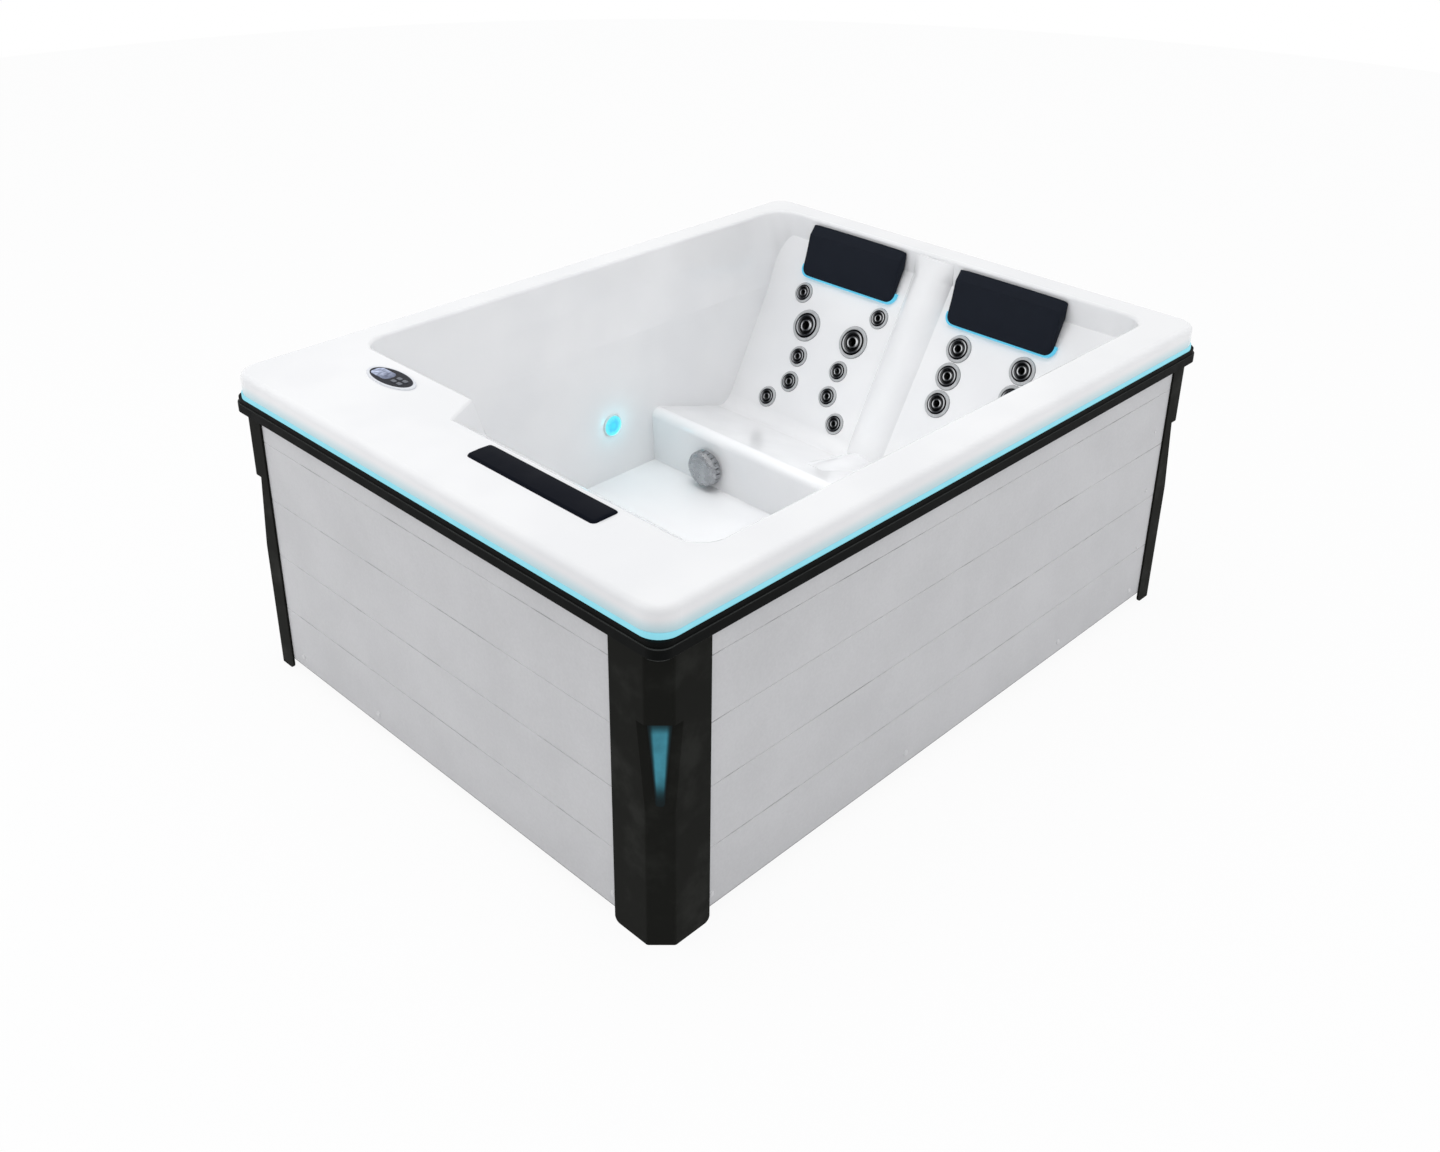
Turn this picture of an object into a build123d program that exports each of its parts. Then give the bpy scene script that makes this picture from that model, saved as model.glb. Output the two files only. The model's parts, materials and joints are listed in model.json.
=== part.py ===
from build123d import *
import math
import os

# Overall size of the tub, over the trim rails
LENGTH = 2100.0
WIDTH = 1600.0
RIM_TOP = 880.0

# Moulded shell
SHELL_THICKNESS = 6.0
RIM_INSET = 6.0
RIM_RADIUS = 60.0
RIM_EDGE_FILLET = 16.0
RIM_INNER_FILLET = 10.0
SKIRT_HEIGHT = 59.0

# Deck left round the basin at rim level, and how far each wall then leans in
# at the foot of the shoulder, half way down and at the floor
HEAD_DECK = 95.0
LEFT_DECK = 85.0
RIGHT_DECK = 120.0
FOOT_DECK = 338.0
SHOULDER_DECK = 230.0
HEAD_LEAN = (0.0, 1.0, 3.0, 5.0)
LEFT_LEAN = (0.0, 21.0, 43.0, 60.0)
RIGHT_LEAN = (0.0, 18.0, 40.0, 58.0)
FOOT_LEAN = (0.0, 21.0, 30.0, 72.0)
SHOULDER_LEAN = (0.0, 127.0, 136.0, 178.0)
BASIN_RADII = (72.0, 66.0, 58.0, 46.0)
SHOULDER_FOOT_Z = 777.0
BASIN_MID_Z = 640.0
FLOOR_Z = 180.0

# Angled step at the end of the shoulder, from the left side of the tub
SHOULDER_STEP = (577.0, 600.0, 602.0, 604.0)
SHOULDER_END = (638.0, 616.0, 618.0, 620.0)

# Seats
BACK_SHELF = 3.0
BACK_RUN = 307.0
BACKREST_TOP_Z = 800.0
SEAT_DEPTH = 345.0
SEAT_FRONT_Z = 371.0
SEAT_REAR_Z = 263.0
SEAT_FRONT_FILLET = 26.0
SEAT_REAR_FILLET = 55.0
RISER_DRAFT = 12.0
BENCH_FROM_END = 750.0
BENCH_DEPTH = 400.0
BENCH_REAR_Z = 336.0
SEAT_A_FROM_WALL = 355.0
SEAT_B_FROM_WALL = 446.0
SEAT_C_FROM_WALL = 447.0

# Rib that parts the two seats
RIB_WIDTH = 150.0
RIB_HEIGHT = 36.0
RIB_START = 110.0
RIB_ROOT = 12.0

# Light strip and trim rails under the rim
STRIP_HEIGHT = 13.0
STRIP_INSET = 5.0
TRIM_UPPER_HEIGHT = 15.0
TRIM_LIP_HEIGHT = 26.0
TRIM_UPPER_INSET = 3.0
TRIM_RADIUS = 38.0
TRIM_DEPTH = 58.0
TRIM_CORNER_LENGTH = 64.0

# Side panels
PANEL_INSET = 16.0
PANEL_THICKNESS = 22.0
PANEL_BOTTOM = 32.0
PLANK_HEIGHT = 168.0
PLANK_GROOVE_WIDTH = 3.0
PLANK_GROOVE_DEPTH = 1.6
PLANK_COUNT = 4
CAP_RADIUS = 9.0
CAP_HEIGHT = 4.0
CAP_Z = 66.0
EDGE_CAP_RADIUS = 5.0
EDGE_CAP_HEIGHT = 3.0
EDGE_CAP_FROM_END = 161.0
END_CAP_FROM_END = 168.0
LONG_PANEL_MIDDLE_CAPS = (-190.0, 500.0)
SHORT_PANEL_MIDDLE_CAPS = (275.0,)
EDGE_CAP_HEIGHTS = (210.0, 400.0, 590.0)

# Corner posts with their lit recess
POST_INSET = 10.0
POST_LEG = 100.0
WIDE_POST_LEG = 148.0
POST_WALL = 6.0
POST_CHAMFER = 44.0
POST_EDGE_RADIUS = 8.0
POST_FOOT_RADIUS = 16.0
PANEL_BEHIND_POST = 25.0
RECESS_TOP_Z = 592.0
RECESS_HEIGHT = 228.0
RECESS_DEPTH = 17.0
RECESS_WALL = 5.0
LENS_TOP_WIDTH = 52.0
LENS_FOOT_WIDTH = 18.0
LENS_HEIGHT = 200.0
LENS_THICKNESS = 1.5
LENS_MARGIN = 8.0

# Pillows
PILLOW_WIDTH = 384.0
PILLOW_FOOT_ALONG = 504.0
PILLOW_CORNER_RADIUS = 28.0
PILLOW_HEAD_THICKNESS = 48.0
PILLOW_FRONT_TOP_Z = 838.0
PILLOW_TOP_Z = 866.0
PILLOW_CROWN = 9.0
PILLOW_FIT = 0.4
PILLOW_RADIUS = 12.0
PILLOW_C_LENGTH = 440.0
PILLOW_C_WIDTH = 76.0
PILLOW_C_FROM_BASIN = 50.0
PILLOW_C_THICKNESS = 24.0
PILLOW_C_PROUD = 7.0
PILLOW_LIGHT_HEIGHT = 5.0
PILLOW_LIGHT_DEPTH = 12.0
PILLOW_LIGHT_RISE = 30.0

# Jets: escutcheon radius, face radius, then places on a seat's backrest
SMALL_JET = (35.0, 26.5)
MEDIUM_JET = (44.0, 33.5)
LARGE_JET = (54.0, 42.5)
SEAT_A_SMALL = ((160.0, 448.0), (86.0, 243.0), (83.0, 155.0), (147.0, 81.0))
SEAT_A_LARGE = ((100.0, 348.0),)
SEAT_B_MEDIUM = ((116.0, 440.0), (116.0, 350.0), (116.0, 260.0))
SEAT_C_MEDIUM = ((105.0, 380.0),)
ESCUTCHEON_HEIGHT = 4.0
FACE_HEIGHT = 5.0
JET_RUNNING_GAP = 0.4
JET_BARREL_WALL = 5.0
JET_BARREL_DEPTH = 46.0
JET_NUT_HEIGHT = 8.0
JET_NUT_WALL = 7.0
JET_HOLE_FIT = 0.5
NUT_GAP = 0.3
JET_STEM_LENGTH = 14.0
JET_SEAT_HEIGHT = 0.6
JET_FACE_OVERHANG = 3.0

# Suction cover, underwater light and floor drain
SUCTION_FROM_SEAT = 40.0
SUCTION_Z = 252.0
SUCTION_RADIUS = 59.0
SUCTION_PROUD = 46.0
SUCTION_SLOTS = 20
SUCTION_SLOT_WIDTH = 3.0
SUCTION_WALL = 4.0
SUCTION_BODY_DEPTH = 76.0
LIGHT_FROM_RISER = 171.0
LIGHT_Z = 362.0
LIGHT_RADIUS = 37.0
LIGHT_BEZEL = 5.0
LIGHT_PROUD = 6.0
LIGHT_BODY_DEPTH = 40.0
DRAIN_FROM_BENCH = 150.0
DRAIN_FROM_WALL = 67.0
DRAIN_DEPTH = 40.0
DRAIN_RADIUS = 44.0
DRAIN_BODY_RADIUS = 30.0
DRAIN_PROUD = 4.0

# Control panel in the deck
CONTROL_FROM_BASIN = 74.0
CONTROL_FROM_LEFT = 342.0
CONTROL_LENGTH = 184.0
CONTROL_WIDTH = 80.0
CONTROL_PROUD = 4.0
CONTROL_BODY_LENGTH = 150.0
CONTROL_BODY_WIDTH = 56.0
CONTROL_BODY_DEPTH = 34.0
DISPLAY_LENGTH = 74.0
DISPLAY_WIDTH = 40.0
DISPLAY_SHIFT = 34.0
DISPLAY_THICKNESS = 2.0
BUTTON_LENGTH = 17.0
BUTTON_WIDTH = 11.0
BUTTON_ROWS = (-9.0, 9.0)
BUTTON_COLUMNS = (-24.0, -48.0)
BUTTON_PROUD = 1.6
BUTTON_DEPTH = 3.0
BUTTON_TRAVEL = 1.0
BUTTON_GAP = 0.4

# Base tray and timber frame
TRAY_THICKNESS = 8.0
TRAY_LIP = 40.0
TRAY_LIP_WALL = 5.0
TRAY_RADIUS = 9.0
TRAY_INSET = 39.0
FRAME_INSET = 46.0
BEAM = 40.0
SHORT_UPRIGHT_FROM_SIDE = 240.0
LONG_UPRIGHT_FROM_END = 180.0
LONG_UPRIGHT_X = 300.0
RIGHT_BEARER_FROM_WALL = 192.0
LEFT_BEARER_FROM_WALL = 175.0
BEARER_SHORTER = 80.0
BEARER_WIDTH = 60.0

# Pump, heater and pipes behind the foot panel and under the footwell
EQUIPMENT_FROM_END = 205.0
PUMP_FROM_LEFT = (538.0, 160.0)
PUMP_AXIS_Z = 113.0
PUMP_RADIUS = 80.0
PUMP_VOLUTE_RADIUS = 96.0
PUMP_VOLUTE_LENGTH = 80.0
PUMP_FOOT_WIDTH = 120.0
PUMP_FINS = 8
PIPE_RADIUS = 24.0
PIPE_BEND = 50.0
HEATER_Z = 352.0
HEATER_RADIUS = 32.0
HEATER_FROM_LEFT = (925.0, 585.0)
CONTROL_BOX_WIDTH = 170.0
CONTROL_BOX_LENGTH = 220.0
BLOWER_FROM_RIGHT = 335.0
BLOWER_RADIUS = 85.0
BLOWER_HEIGHT = 210.0
MANIFOLD_FROM_END = 160.0
MANIFOLD_Z = 330.0
MANIFOLD_RADIUS = 30.0
MANIFOLD_BEYOND_SEAT = (186.0, 200.0)
PRESSURE_FROM_HEATER = 105.0
SUCTION_RUN_FROM_PUMP = 56.0
HOSE_RADIUS = 10.0
EPS = 1.0

# Places that follow from the overall size
HALF_LENGTH = LENGTH / 2
HALF_WIDTH = WIDTH / 2
BASIN_HEAD_X = [HALF_LENGTH - HEAD_DECK - lean for lean in HEAD_LEAN]
BASIN_LEFT_Y = [HALF_WIDTH - LEFT_DECK - lean for lean in LEFT_LEAN]
BASIN_RIGHT_Y = [RIGHT_DECK + lean - HALF_WIDTH for lean in RIGHT_LEAN]
BASIN_FOOT_X = [FOOT_DECK + lean - HALF_LENGTH for lean in FOOT_LEAN]
SHOULDER_X = [SHOULDER_DECK + lean - HALF_LENGTH for lean in SHOULDER_LEAN]
SHOULDER_STEP_Y = [HALF_WIDTH - distance for distance in SHOULDER_STEP]
SHOULDER_END_Y = [HALF_WIDTH - distance for distance in SHOULDER_END]
SEAT_REAR_X = BASIN_HEAD_X[0] - BACK_SHELF - BACK_RUN
SEAT_FRONT_X = SEAT_REAR_X - SEAT_DEPTH
BENCH_FRONT_X = BENCH_FROM_END - HALF_LENGTH
BENCH_REAR_X = BENCH_FRONT_X - BENCH_DEPTH
SEAT_A_Y = BASIN_LEFT_Y[0] - SEAT_A_FROM_WALL
SEAT_B_Y = BASIN_RIGHT_Y[0] + SEAT_B_FROM_WALL
SEAT_C_Y = BASIN_RIGHT_Y[0] + SEAT_C_FROM_WALL
RIB_Y = (SEAT_A_Y + SEAT_B_Y) / 2
PILLOW_C_X = SHOULDER_X[0] - PILLOW_C_FROM_BASIN
SUCTION_Y = SEAT_A_Y + SUCTION_FROM_SEAT
LIGHT_X = SEAT_FRONT_X - LIGHT_FROM_RISER
DRAIN_X = BENCH_FRONT_X + DRAIN_FROM_BENCH
DRAIN_Y = BASIN_RIGHT_Y[3] + DRAIN_FROM_WALL
CONTROL_X = BASIN_FOOT_X[0] - CONTROL_FROM_BASIN
CONTROL_Y = HALF_WIDTH - CONTROL_FROM_LEFT
EQUIPMENT_X = EQUIPMENT_FROM_END - HALF_LENGTH
PUMP_Y = [HALF_WIDTH - distance for distance in PUMP_FROM_LEFT]
HEATER_Y = [HALF_WIDTH - distance for distance in HEATER_FROM_LEFT]
BLOWER_Y = BLOWER_FROM_RIGHT - HALF_WIDTH
MANIFOLD_X = HALF_LENGTH - MANIFOLD_FROM_END
MANIFOLD_Y = (SEAT_B_Y - MANIFOLD_BEYOND_SEAT[0], SEAT_A_Y + MANIFOLD_BEYOND_SEAT[1])
PRESSURE_Y = HEATER_Y[0] - PRESSURE_FROM_HEATER
SUCTION_RUN_Y = PUMP_Y[0] - SUCTION_RUN_FROM_PUMP

# Heights that follow from the sizes above
SKIRT_BOTTOM = RIM_TOP - SKIRT_HEIGHT
STRIP_BOTTOM = SKIRT_BOTTOM - STRIP_HEIGHT
TRIM_SHELF = STRIP_BOTTOM - TRIM_UPPER_HEIGHT
TRIM_BOTTOM = TRIM_SHELF - TRIM_LIP_HEIGHT

# Plane of the backrest of the two head seats, as a line in X and Z
BACK_RISE = BACKREST_TOP_Z - SEAT_REAR_Z
BACK_LENGTH = math.hypot(BACK_RUN, BACK_RISE)
BACK_ALONG = Vector(BACK_RUN / BACK_LENGTH, 0, BACK_RISE / BACK_LENGTH)
BACK_NORMAL = Vector(-BACK_ALONG.Z, 0, BACK_ALONG.X)
SEAT_REAR = Vector(SEAT_REAR_X, 0, SEAT_REAR_Z)
BACK_TOP = SEAT_REAR + BACK_ALONG * BACK_LENGTH

PARTS = {}


def add(name, shape):
    """Keep one sub-part under its node name."""
    PARTS[name] = shape


def group(shapes):
    """Several separate solids that share one node."""
    solids = []
    for shape in shapes:
        solids.extend(shape.solids())
    return Compound(children=solids)


def block(x, y, z):
    """A box from its low and high coordinates on each axis."""
    size = (x[1] - x[0], y[1] - y[0], z[1] - z[0])
    middle = ((x[0] + x[1]) / 2, (y[0] + y[1]) / 2, (z[0] + z[1]) / 2)
    return Pos(*middle) * Box(*size)


def outline_prism(inset, radius, z_low, z_high):
    """The tub's rounded outline, drawn in by an inset, between two heights."""
    face = RectangleRounded(LENGTH - 2 * inset, WIDTH - 2 * inset, radius)
    return Pos(0, 0, z_low) * extrude(face, amount=z_high - z_low)


def lathe(points):
    """A solid of revolution about Z from (radius, height) points."""
    profile = Plane.XZ * make_face(Polyline(*points, close=True))
    return revolve(profile, Axis.Z, 360)


def side_profile(points, fillets, grow):
    """A closed outline in X and Z, with chosen corners rounded, grown or shrunk."""
    face = make_face(Polyline(*points, close=True))
    for place, radius in fillets:
        corner = face.vertices().sort_by_distance((place[0], place[1], 0))[0]
        face = fillet(corner, radius)
    if grow:
        face = offset(face, amount=grow)
    return face


def across_width(face, y_low, y_high):
    """An X-Z outline carried along Y."""
    placed = Plane.XZ * face
    return Pos(0, y_high, 0) * extrude(placed, amount=y_high - y_low)


def basin_section(level, grow, z):
    """The basin's plan at one of its four levels: a rounded box with a step in its foot wall."""
    foot = BASIN_FOOT_X[level] - grow
    back = SHOULDER_X[level] - grow
    head = BASIN_HEAD_X[level] + grow
    right = BASIN_RIGHT_Y[level] - grow
    left = BASIN_LEFT_Y[level] + grow
    corners = ((back, right), (head, right), (head, left), (foot, left))
    step = ((foot, SHOULDER_STEP_Y[level] + grow), (back, SHOULDER_END_Y[level] + grow))
    face = make_face(Polyline(*corners, *step, close=True))
    round_ones = [face.vertices().sort_by_distance((x, y, 0))[0] for x, y in corners]
    return Pos(0, 0, z) * fillet(round_ones, BASIN_RADII[level] + grow)


def pool(grow):
    """Drafted walls of the basin, with the sloped shoulder behind the third seat."""
    levels = (RIM_TOP, SHOULDER_FOOT_Z - grow, BASIN_MID_Z, FLOOR_Z - grow)
    sections = [basin_section(i, grow, z) for i, z in enumerate(levels)]
    return loft(sections, ruled=True)


def head_block(grow):
    """Riser, seat pan and backrest of the two head seats, left standing in the basin."""
    far = LENGTH
    points = (
        (SEAT_FRONT_X + RISER_DRAFT, 0.0),
        (SEAT_FRONT_X, SEAT_FRONT_Z),
        (SEAT_REAR_X, SEAT_REAR_Z),
        (BACK_TOP.X, BACK_TOP.Z),
        (far, BACK_TOP.Z),
        (far, 0.0),
    )
    fillets = (
        ((SEAT_FRONT_X, SEAT_FRONT_Z), SEAT_FRONT_FILLET),
        ((SEAT_REAR_X, SEAT_REAR_Z), SEAT_REAR_FILLET),
    )
    face = side_profile(points, fillets, -grow)
    return across_width(face, -WIDTH, WIDTH)


def bench_block(grow):
    """Riser and pan of the bench at the foot end."""
    far = -LENGTH
    points = (
        (BENCH_FRONT_X - RISER_DRAFT, 0.0),
        (BENCH_FRONT_X, SEAT_FRONT_Z),
        (BENCH_REAR_X, BENCH_REAR_Z),
        (far, BENCH_REAR_Z),
        (far, 0.0),
    )
    fillets = (((BENCH_FRONT_X, SEAT_FRONT_Z), SEAT_FRONT_FILLET),)
    face = side_profile(points, fillets, -grow)
    return across_width(face, -WIDTH, WIDTH)


def rib_section(place, up, width, height, grow):
    """One arched cross-section of the rib, square to its path."""
    base = place - up * (grow + RIB_ROOT)
    plane = Plane(origin=base, x_dir=(0, 1, 0), z_dir=Vector(0, 1, 0).cross(up))
    half = width / 2 - grow
    arch = ThreePointArc((-half, RIB_ROOT), (0, RIB_ROOT + height), (half, RIB_ROOT))
    foot = Polyline((half, RIB_ROOT), (half, 0), (-half, 0), (-half, RIB_ROOT))
    return plane * make_face(arch + foot)


def rib(grow):
    """Rounded rib between the two head seats, fading out on the pan and below the rim."""
    pan = Vector(SEAT_REAR_X - SEAT_FRONT_X, 0, SEAT_REAR_Z - SEAT_FRONT_Z).normalized()
    pan_up = Vector(-pan.Z, 0, pan.X)
    front = Vector(SEAT_FRONT_X, RIB_Y, SEAT_FRONT_Z) + pan * (RIB_START / pan.X)
    rear = SEAT_REAR + Vector(0, RIB_Y, 0)
    top = BACK_TOP + Vector(0, RIB_Y, 0)
    head = Vector(BASIN_HEAD_X[0] - 1.0, RIB_Y, RIM_TOP - RIM_INNER_FILLET - 2.0)
    bend = (pan_up + BACK_NORMAL).normalized()
    lean = (BACK_NORMAL + Vector(-1, 0, 0)).normalized()
    sections = [
        rib_section(front, pan_up, RIB_WIDTH * 0.5, 1.0, grow),
        rib_section(rear, bend, RIB_WIDTH * 0.9, RIB_HEIGHT, grow),
        rib_section(top, lean, RIB_WIDTH, RIB_HEIGHT, grow),
        rib_section(head, Vector(-1, 0, 0), RIB_WIDTH, 6.0, grow),
    ]
    return loft(sections, ruled=True)


def hollow(grow):
    """The water space, or the outside of the moulded basin when grown by the wall."""
    return pool(grow) - head_block(grow) - bench_block(grow) - rib(grow)


def basin_mouth():
    """The opening at rim level, carried up clear of the rim."""
    mouth = hollow(0.0).faces().sort_by(Axis.Z)[-1]
    return extrude(mouth, amount=RIM_INNER_FILLET)


def on_backrest(y, along):
    """A plane on the head backrest, Z pointing into the water."""
    place = SEAT_REAR + BACK_ALONG * along + Vector(0, y, 0)
    return Plane(origin=place, x_dir=(0, 1, 0), z_dir=BACK_NORMAL)


def on_foot_wall(y, above_floor):
    """A plane on the lower foot wall, Z pointing into the water."""
    rise = BASIN_MID_Z - FLOOR_Z
    run = SHOULDER_X[2] - SHOULDER_X[3]
    share = above_floor / rise
    place = (SHOULDER_X[3] + run * share, y, FLOOR_Z + above_floor)
    normal = Vector(rise, 0, -run).normalized()
    return Plane(origin=place, x_dir=(0, -1, 0), z_dir=normal)


def on_left_wall(x, z):
    """A plane on the lower left wall, Z pointing into the water."""
    rise = BASIN_MID_Z - FLOOR_Z
    run = BASIN_LEFT_Y[2] - BASIN_LEFT_Y[3]
    place = (x, BASIN_LEFT_Y[3] + run * (z - FLOOR_Z) / rise, z)
    normal = Vector(0, -rise, run).normalized()
    return Plane(origin=place, x_dir=(1, 0, 0), z_dir=normal)


def on_riser(y, z):
    """A plane on the riser of the head seats, Z pointing into the footwell."""
    x = SEAT_FRONT_X + RISER_DRAFT * (SEAT_FRONT_Z - z) / SEAT_FRONT_Z
    normal = Vector(-SEAT_FRONT_Z, 0, -RISER_DRAFT).normalized()
    return Plane(origin=(x, y, z), x_dir=(0, 1, 0), z_dir=normal)


def jet_places():
    """Every jet: name, size, and the plane that it sits on."""
    places = []
    for seat, middle, rows, size in (
        ("a", SEAT_A_Y, SEAT_A_SMALL, SMALL_JET),
        ("a_large", SEAT_A_Y, SEAT_A_LARGE, LARGE_JET),
        ("b", SEAT_B_Y, SEAT_B_MEDIUM, MEDIUM_JET),
    ):
        for row, (aside, along) in enumerate(rows, start=1):
            places.append((f"{seat}{row}_left", size, on_backrest(middle + aside, along)))
            places.append((f"{seat}{row}_right", size, on_backrest(middle - aside, along)))
    for row, (aside, above) in enumerate(SEAT_C_MEDIUM, start=1):
        places.append((f"c{row}_left", MEDIUM_JET, on_foot_wall(SEAT_C_Y + aside, above)))
        places.append((f"c{row}_right", MEDIUM_JET, on_foot_wall(SEAT_C_Y - aside, above)))
    return places


def barrel_radius(size):
    """The barrel is a little narrower than the face that covers it."""
    return size[1] - JET_FACE_OVERHANG


def jet_body(size):
    """Wall fitting: escutcheon in front of the shell, barrel and nut behind it."""
    ring, face = size
    barrel = barrel_radius(size)
    seat = face + JET_RUNNING_GAP
    bore = barrel - JET_BARREL_WALL
    nut_front = -SHELL_THICKNESS - NUT_GAP
    nut_back = nut_front - JET_NUT_HEIGHT
    profile = (
        (bore, JET_SEAT_HEIGHT),
        (bore, -JET_BARREL_DEPTH + JET_BARREL_WALL),
        (0.0, -JET_BARREL_DEPTH + JET_BARREL_WALL),
        (0.0, -JET_BARREL_DEPTH),
        (barrel, -JET_BARREL_DEPTH),
        (barrel, nut_back),
        (barrel + JET_NUT_WALL, nut_back),
        (barrel + JET_NUT_WALL, nut_front),
        (barrel, nut_front),
        (barrel, 0.0),
        (ring, 0.0),
        (ring - ESCUTCHEON_HEIGHT * 0.6, ESCUTCHEON_HEIGHT),
        (seat, ESCUTCHEON_HEIGHT),
        (seat, JET_SEAT_HEIGHT),
    )
    return lathe(profile)


def jet_face(size):
    """Turning face: an outer grip ring, a groove and a ring round the nozzle."""
    face = size[1]
    stem = barrel_radius(size) - JET_BARREL_WALL - JET_RUNNING_GAP
    mouth = face * 0.34
    low = JET_SEAT_HEIGHT + JET_RUNNING_GAP
    top = low + FACE_HEIGHT
    profile = (
        (mouth, -JET_STEM_LENGTH),
        (stem, -JET_STEM_LENGTH),
        (stem, low),
        (face, low),
        (face, top - 1.5),
        (face - 2.5, top),
        (face * 0.74, top),
        (face * 0.62, low + 0.5),
        (face * 0.5, low + 0.5),
        (face * 0.44, top - 1.0),
        (mouth, top - 1.0),
    )
    return lathe(profile)


def jet_hole(size):
    """The round hole in the shell for one wall fitting."""
    return Cylinder(barrel_radius(size) + JET_HOLE_FIT, 4 * SHELL_THICKNESS)


def suction_cover():
    """Domed cover with slots all round its side."""
    neck = SUCTION_RADIUS - 12.0
    rim = SUCTION_RADIUS
    inner = rim - SUCTION_WALL
    profile = (
        (neck - SUCTION_WALL, 0.0),
        (neck, 0.0),
        (neck, 5.0),
        (rim, 12.0),
        (rim, SUCTION_PROUD - 14.0),
        (rim - 6.0, SUCTION_PROUD - 4.0),
        (rim - 14.0, SUCTION_PROUD),
        (0.0, SUCTION_PROUD),
        (0.0, SUCTION_PROUD - SUCTION_WALL),
        (rim - 16.0, SUCTION_PROUD - SUCTION_WALL),
        (inner, SUCTION_PROUD - 15.0),
        (inner, 14.0),
        (neck - SUCTION_WALL, 8.0),
    )
    dome = lathe(profile)
    slot_length = SUCTION_PROUD - 30.0
    slot = Pos(rim, 0, 14.0 + slot_length / 2) * Box(14.0, SUCTION_SLOT_WIDTH, slot_length)
    return dome - PolarLocations(0, SUCTION_SLOTS) * slot


def suction_neck():
    """Radius of the suction fitting's tube through the riser."""
    return SUCTION_RADIUS - 20.0


def suction_body():
    """Wall fitting behind the suction cover, with its nut and pipe stub."""
    tube = suction_neck()
    nut = -SHELL_THICKNESS - NUT_GAP
    profile = (
        (0.0, -SUCTION_BODY_DEPTH),
        (tube, -SUCTION_BODY_DEPTH),
        (tube, nut - 12.0),
        (tube + 14.0, nut - 12.0),
        (tube + 14.0, nut),
        (tube, nut),
        (tube, 3.0),
        (tube - 6.0, 3.0),
        (tube - 6.0, -SUCTION_BODY_DEPTH + 10.0),
        (0.0, -SUCTION_BODY_DEPTH + 10.0),
    )
    return lathe(profile)


def light_tube():
    """Radius of the lamp housing through the wall."""
    return LIGHT_RADIUS - LIGHT_BEZEL - 3.0


def light_body():
    """Lamp housing through the left wall, with its bezel ring."""
    glass = LIGHT_RADIUS - LIGHT_BEZEL
    tube = light_tube()
    nut = -SHELL_THICKNESS - NUT_GAP
    profile = (
        (0.0, -LIGHT_BODY_DEPTH),
        (tube, -LIGHT_BODY_DEPTH),
        (tube, nut - 8.0),
        (tube + 8.0, nut - 8.0),
        (tube + 8.0, nut),
        (tube, nut),
        (tube, 0.0),
        (LIGHT_RADIUS, 0.0),
        (LIGHT_RADIUS - 2.0, LIGHT_PROUD - 1.0),
        (glass + 1.0, LIGHT_PROUD),
        (glass, 1.0),
        (0.0, 1.0),
    )
    return lathe(profile)


def light_lens():
    """Low domed lens held in the bezel."""
    glass = LIGHT_RADIUS - LIGHT_BEZEL
    profile = (
        (0.0, 1.0),
        (glass - 0.3, 1.0),
        (glass - 0.3, 4.0),
        (glass * 0.75, 7.0),
        (glass * 0.4, 9.0),
        (0.0, 10.0),
    )
    return lathe(profile)


def floor_drain():
    """Grated drain in the footwell floor, with its spigot below."""
    tube = DRAIN_BODY_RADIUS
    nut = -SHELL_THICKNESS - NUT_GAP
    profile = (
        (0.0, -DRAIN_DEPTH),
        (tube, -DRAIN_DEPTH),
        (tube, nut - 8.0),
        (tube + 8.0, nut - 8.0),
        (tube + 8.0, nut),
        (tube, nut),
        (tube, 0.0),
        (DRAIN_RADIUS, 0.0),
        (DRAIN_RADIUS - 3.0, DRAIN_PROUD),
        (0.0, DRAIN_PROUD),
    )
    body = lathe(profile)
    hole = Pos(0, 0, DRAIN_PROUD) * Cylinder(4.0, 16.0)
    return body - PolarLocations(20.0, 8) * hole


def control_body_bar(length, width, z_low, z_high):
    """A round-ended bar of the control panel, long side along Y."""
    face = SlotOverall(length, width, rotation=90)
    return Pos(CONTROL_X, CONTROL_Y, z_low) * extrude(face, amount=z_high - z_low)


def control_oval(length, width, z_low, z_high):
    """The oval top of the control panel between two heights."""
    face = Ellipse(width / 2, length / 2)
    return Pos(CONTROL_X, CONTROL_Y, z_low) * extrude(face, amount=z_high - z_low)


def display_place():
    return Pos(CONTROL_X, CONTROL_Y + DISPLAY_SHIFT, RIM_TOP + CONTROL_PROUD)


def button_places():
    """Button centres on the oval, named by column and row."""
    places = []
    for column, along in enumerate(BUTTON_COLUMNS, start=1):
        for row, aside in enumerate(BUTTON_ROWS, start=1):
            place = Pos(CONTROL_X + aside, CONTROL_Y + along, RIM_TOP + CONTROL_PROUD)
            places.append((f"panel_button_{column}_{row}", place))
    return places


def button_face(extra):
    return RectangleRounded(BUTTON_WIDTH + extra, BUTTON_LENGTH + extra, 3.0)


def control_panel():
    """Oval top plate with its housing below the deck and a well for each button."""
    top = control_oval(CONTROL_LENGTH, CONTROL_WIDTH, RIM_TOP, RIM_TOP + CONTROL_PROUD)
    top = chamfer(top.edges().group_by(Axis.Z)[-1], 1.2)
    housing = control_body_bar(
        CONTROL_BODY_LENGTH, CONTROL_BODY_WIDTH, RIM_TOP - CONTROL_BODY_DEPTH, RIM_TOP
    )
    body = top + housing
    window = RectangleRounded(DISPLAY_WIDTH, DISPLAY_LENGTH, 16.0)
    body -= display_place() * extrude(window, amount=-DISPLAY_THICKNESS)
    for name, place in button_places():
        well = extrude(button_face(2 * BUTTON_GAP), amount=-BUTTON_DEPTH - BUTTON_TRAVEL - BUTTON_GAP)
        body -= place * well
    return body


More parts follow.
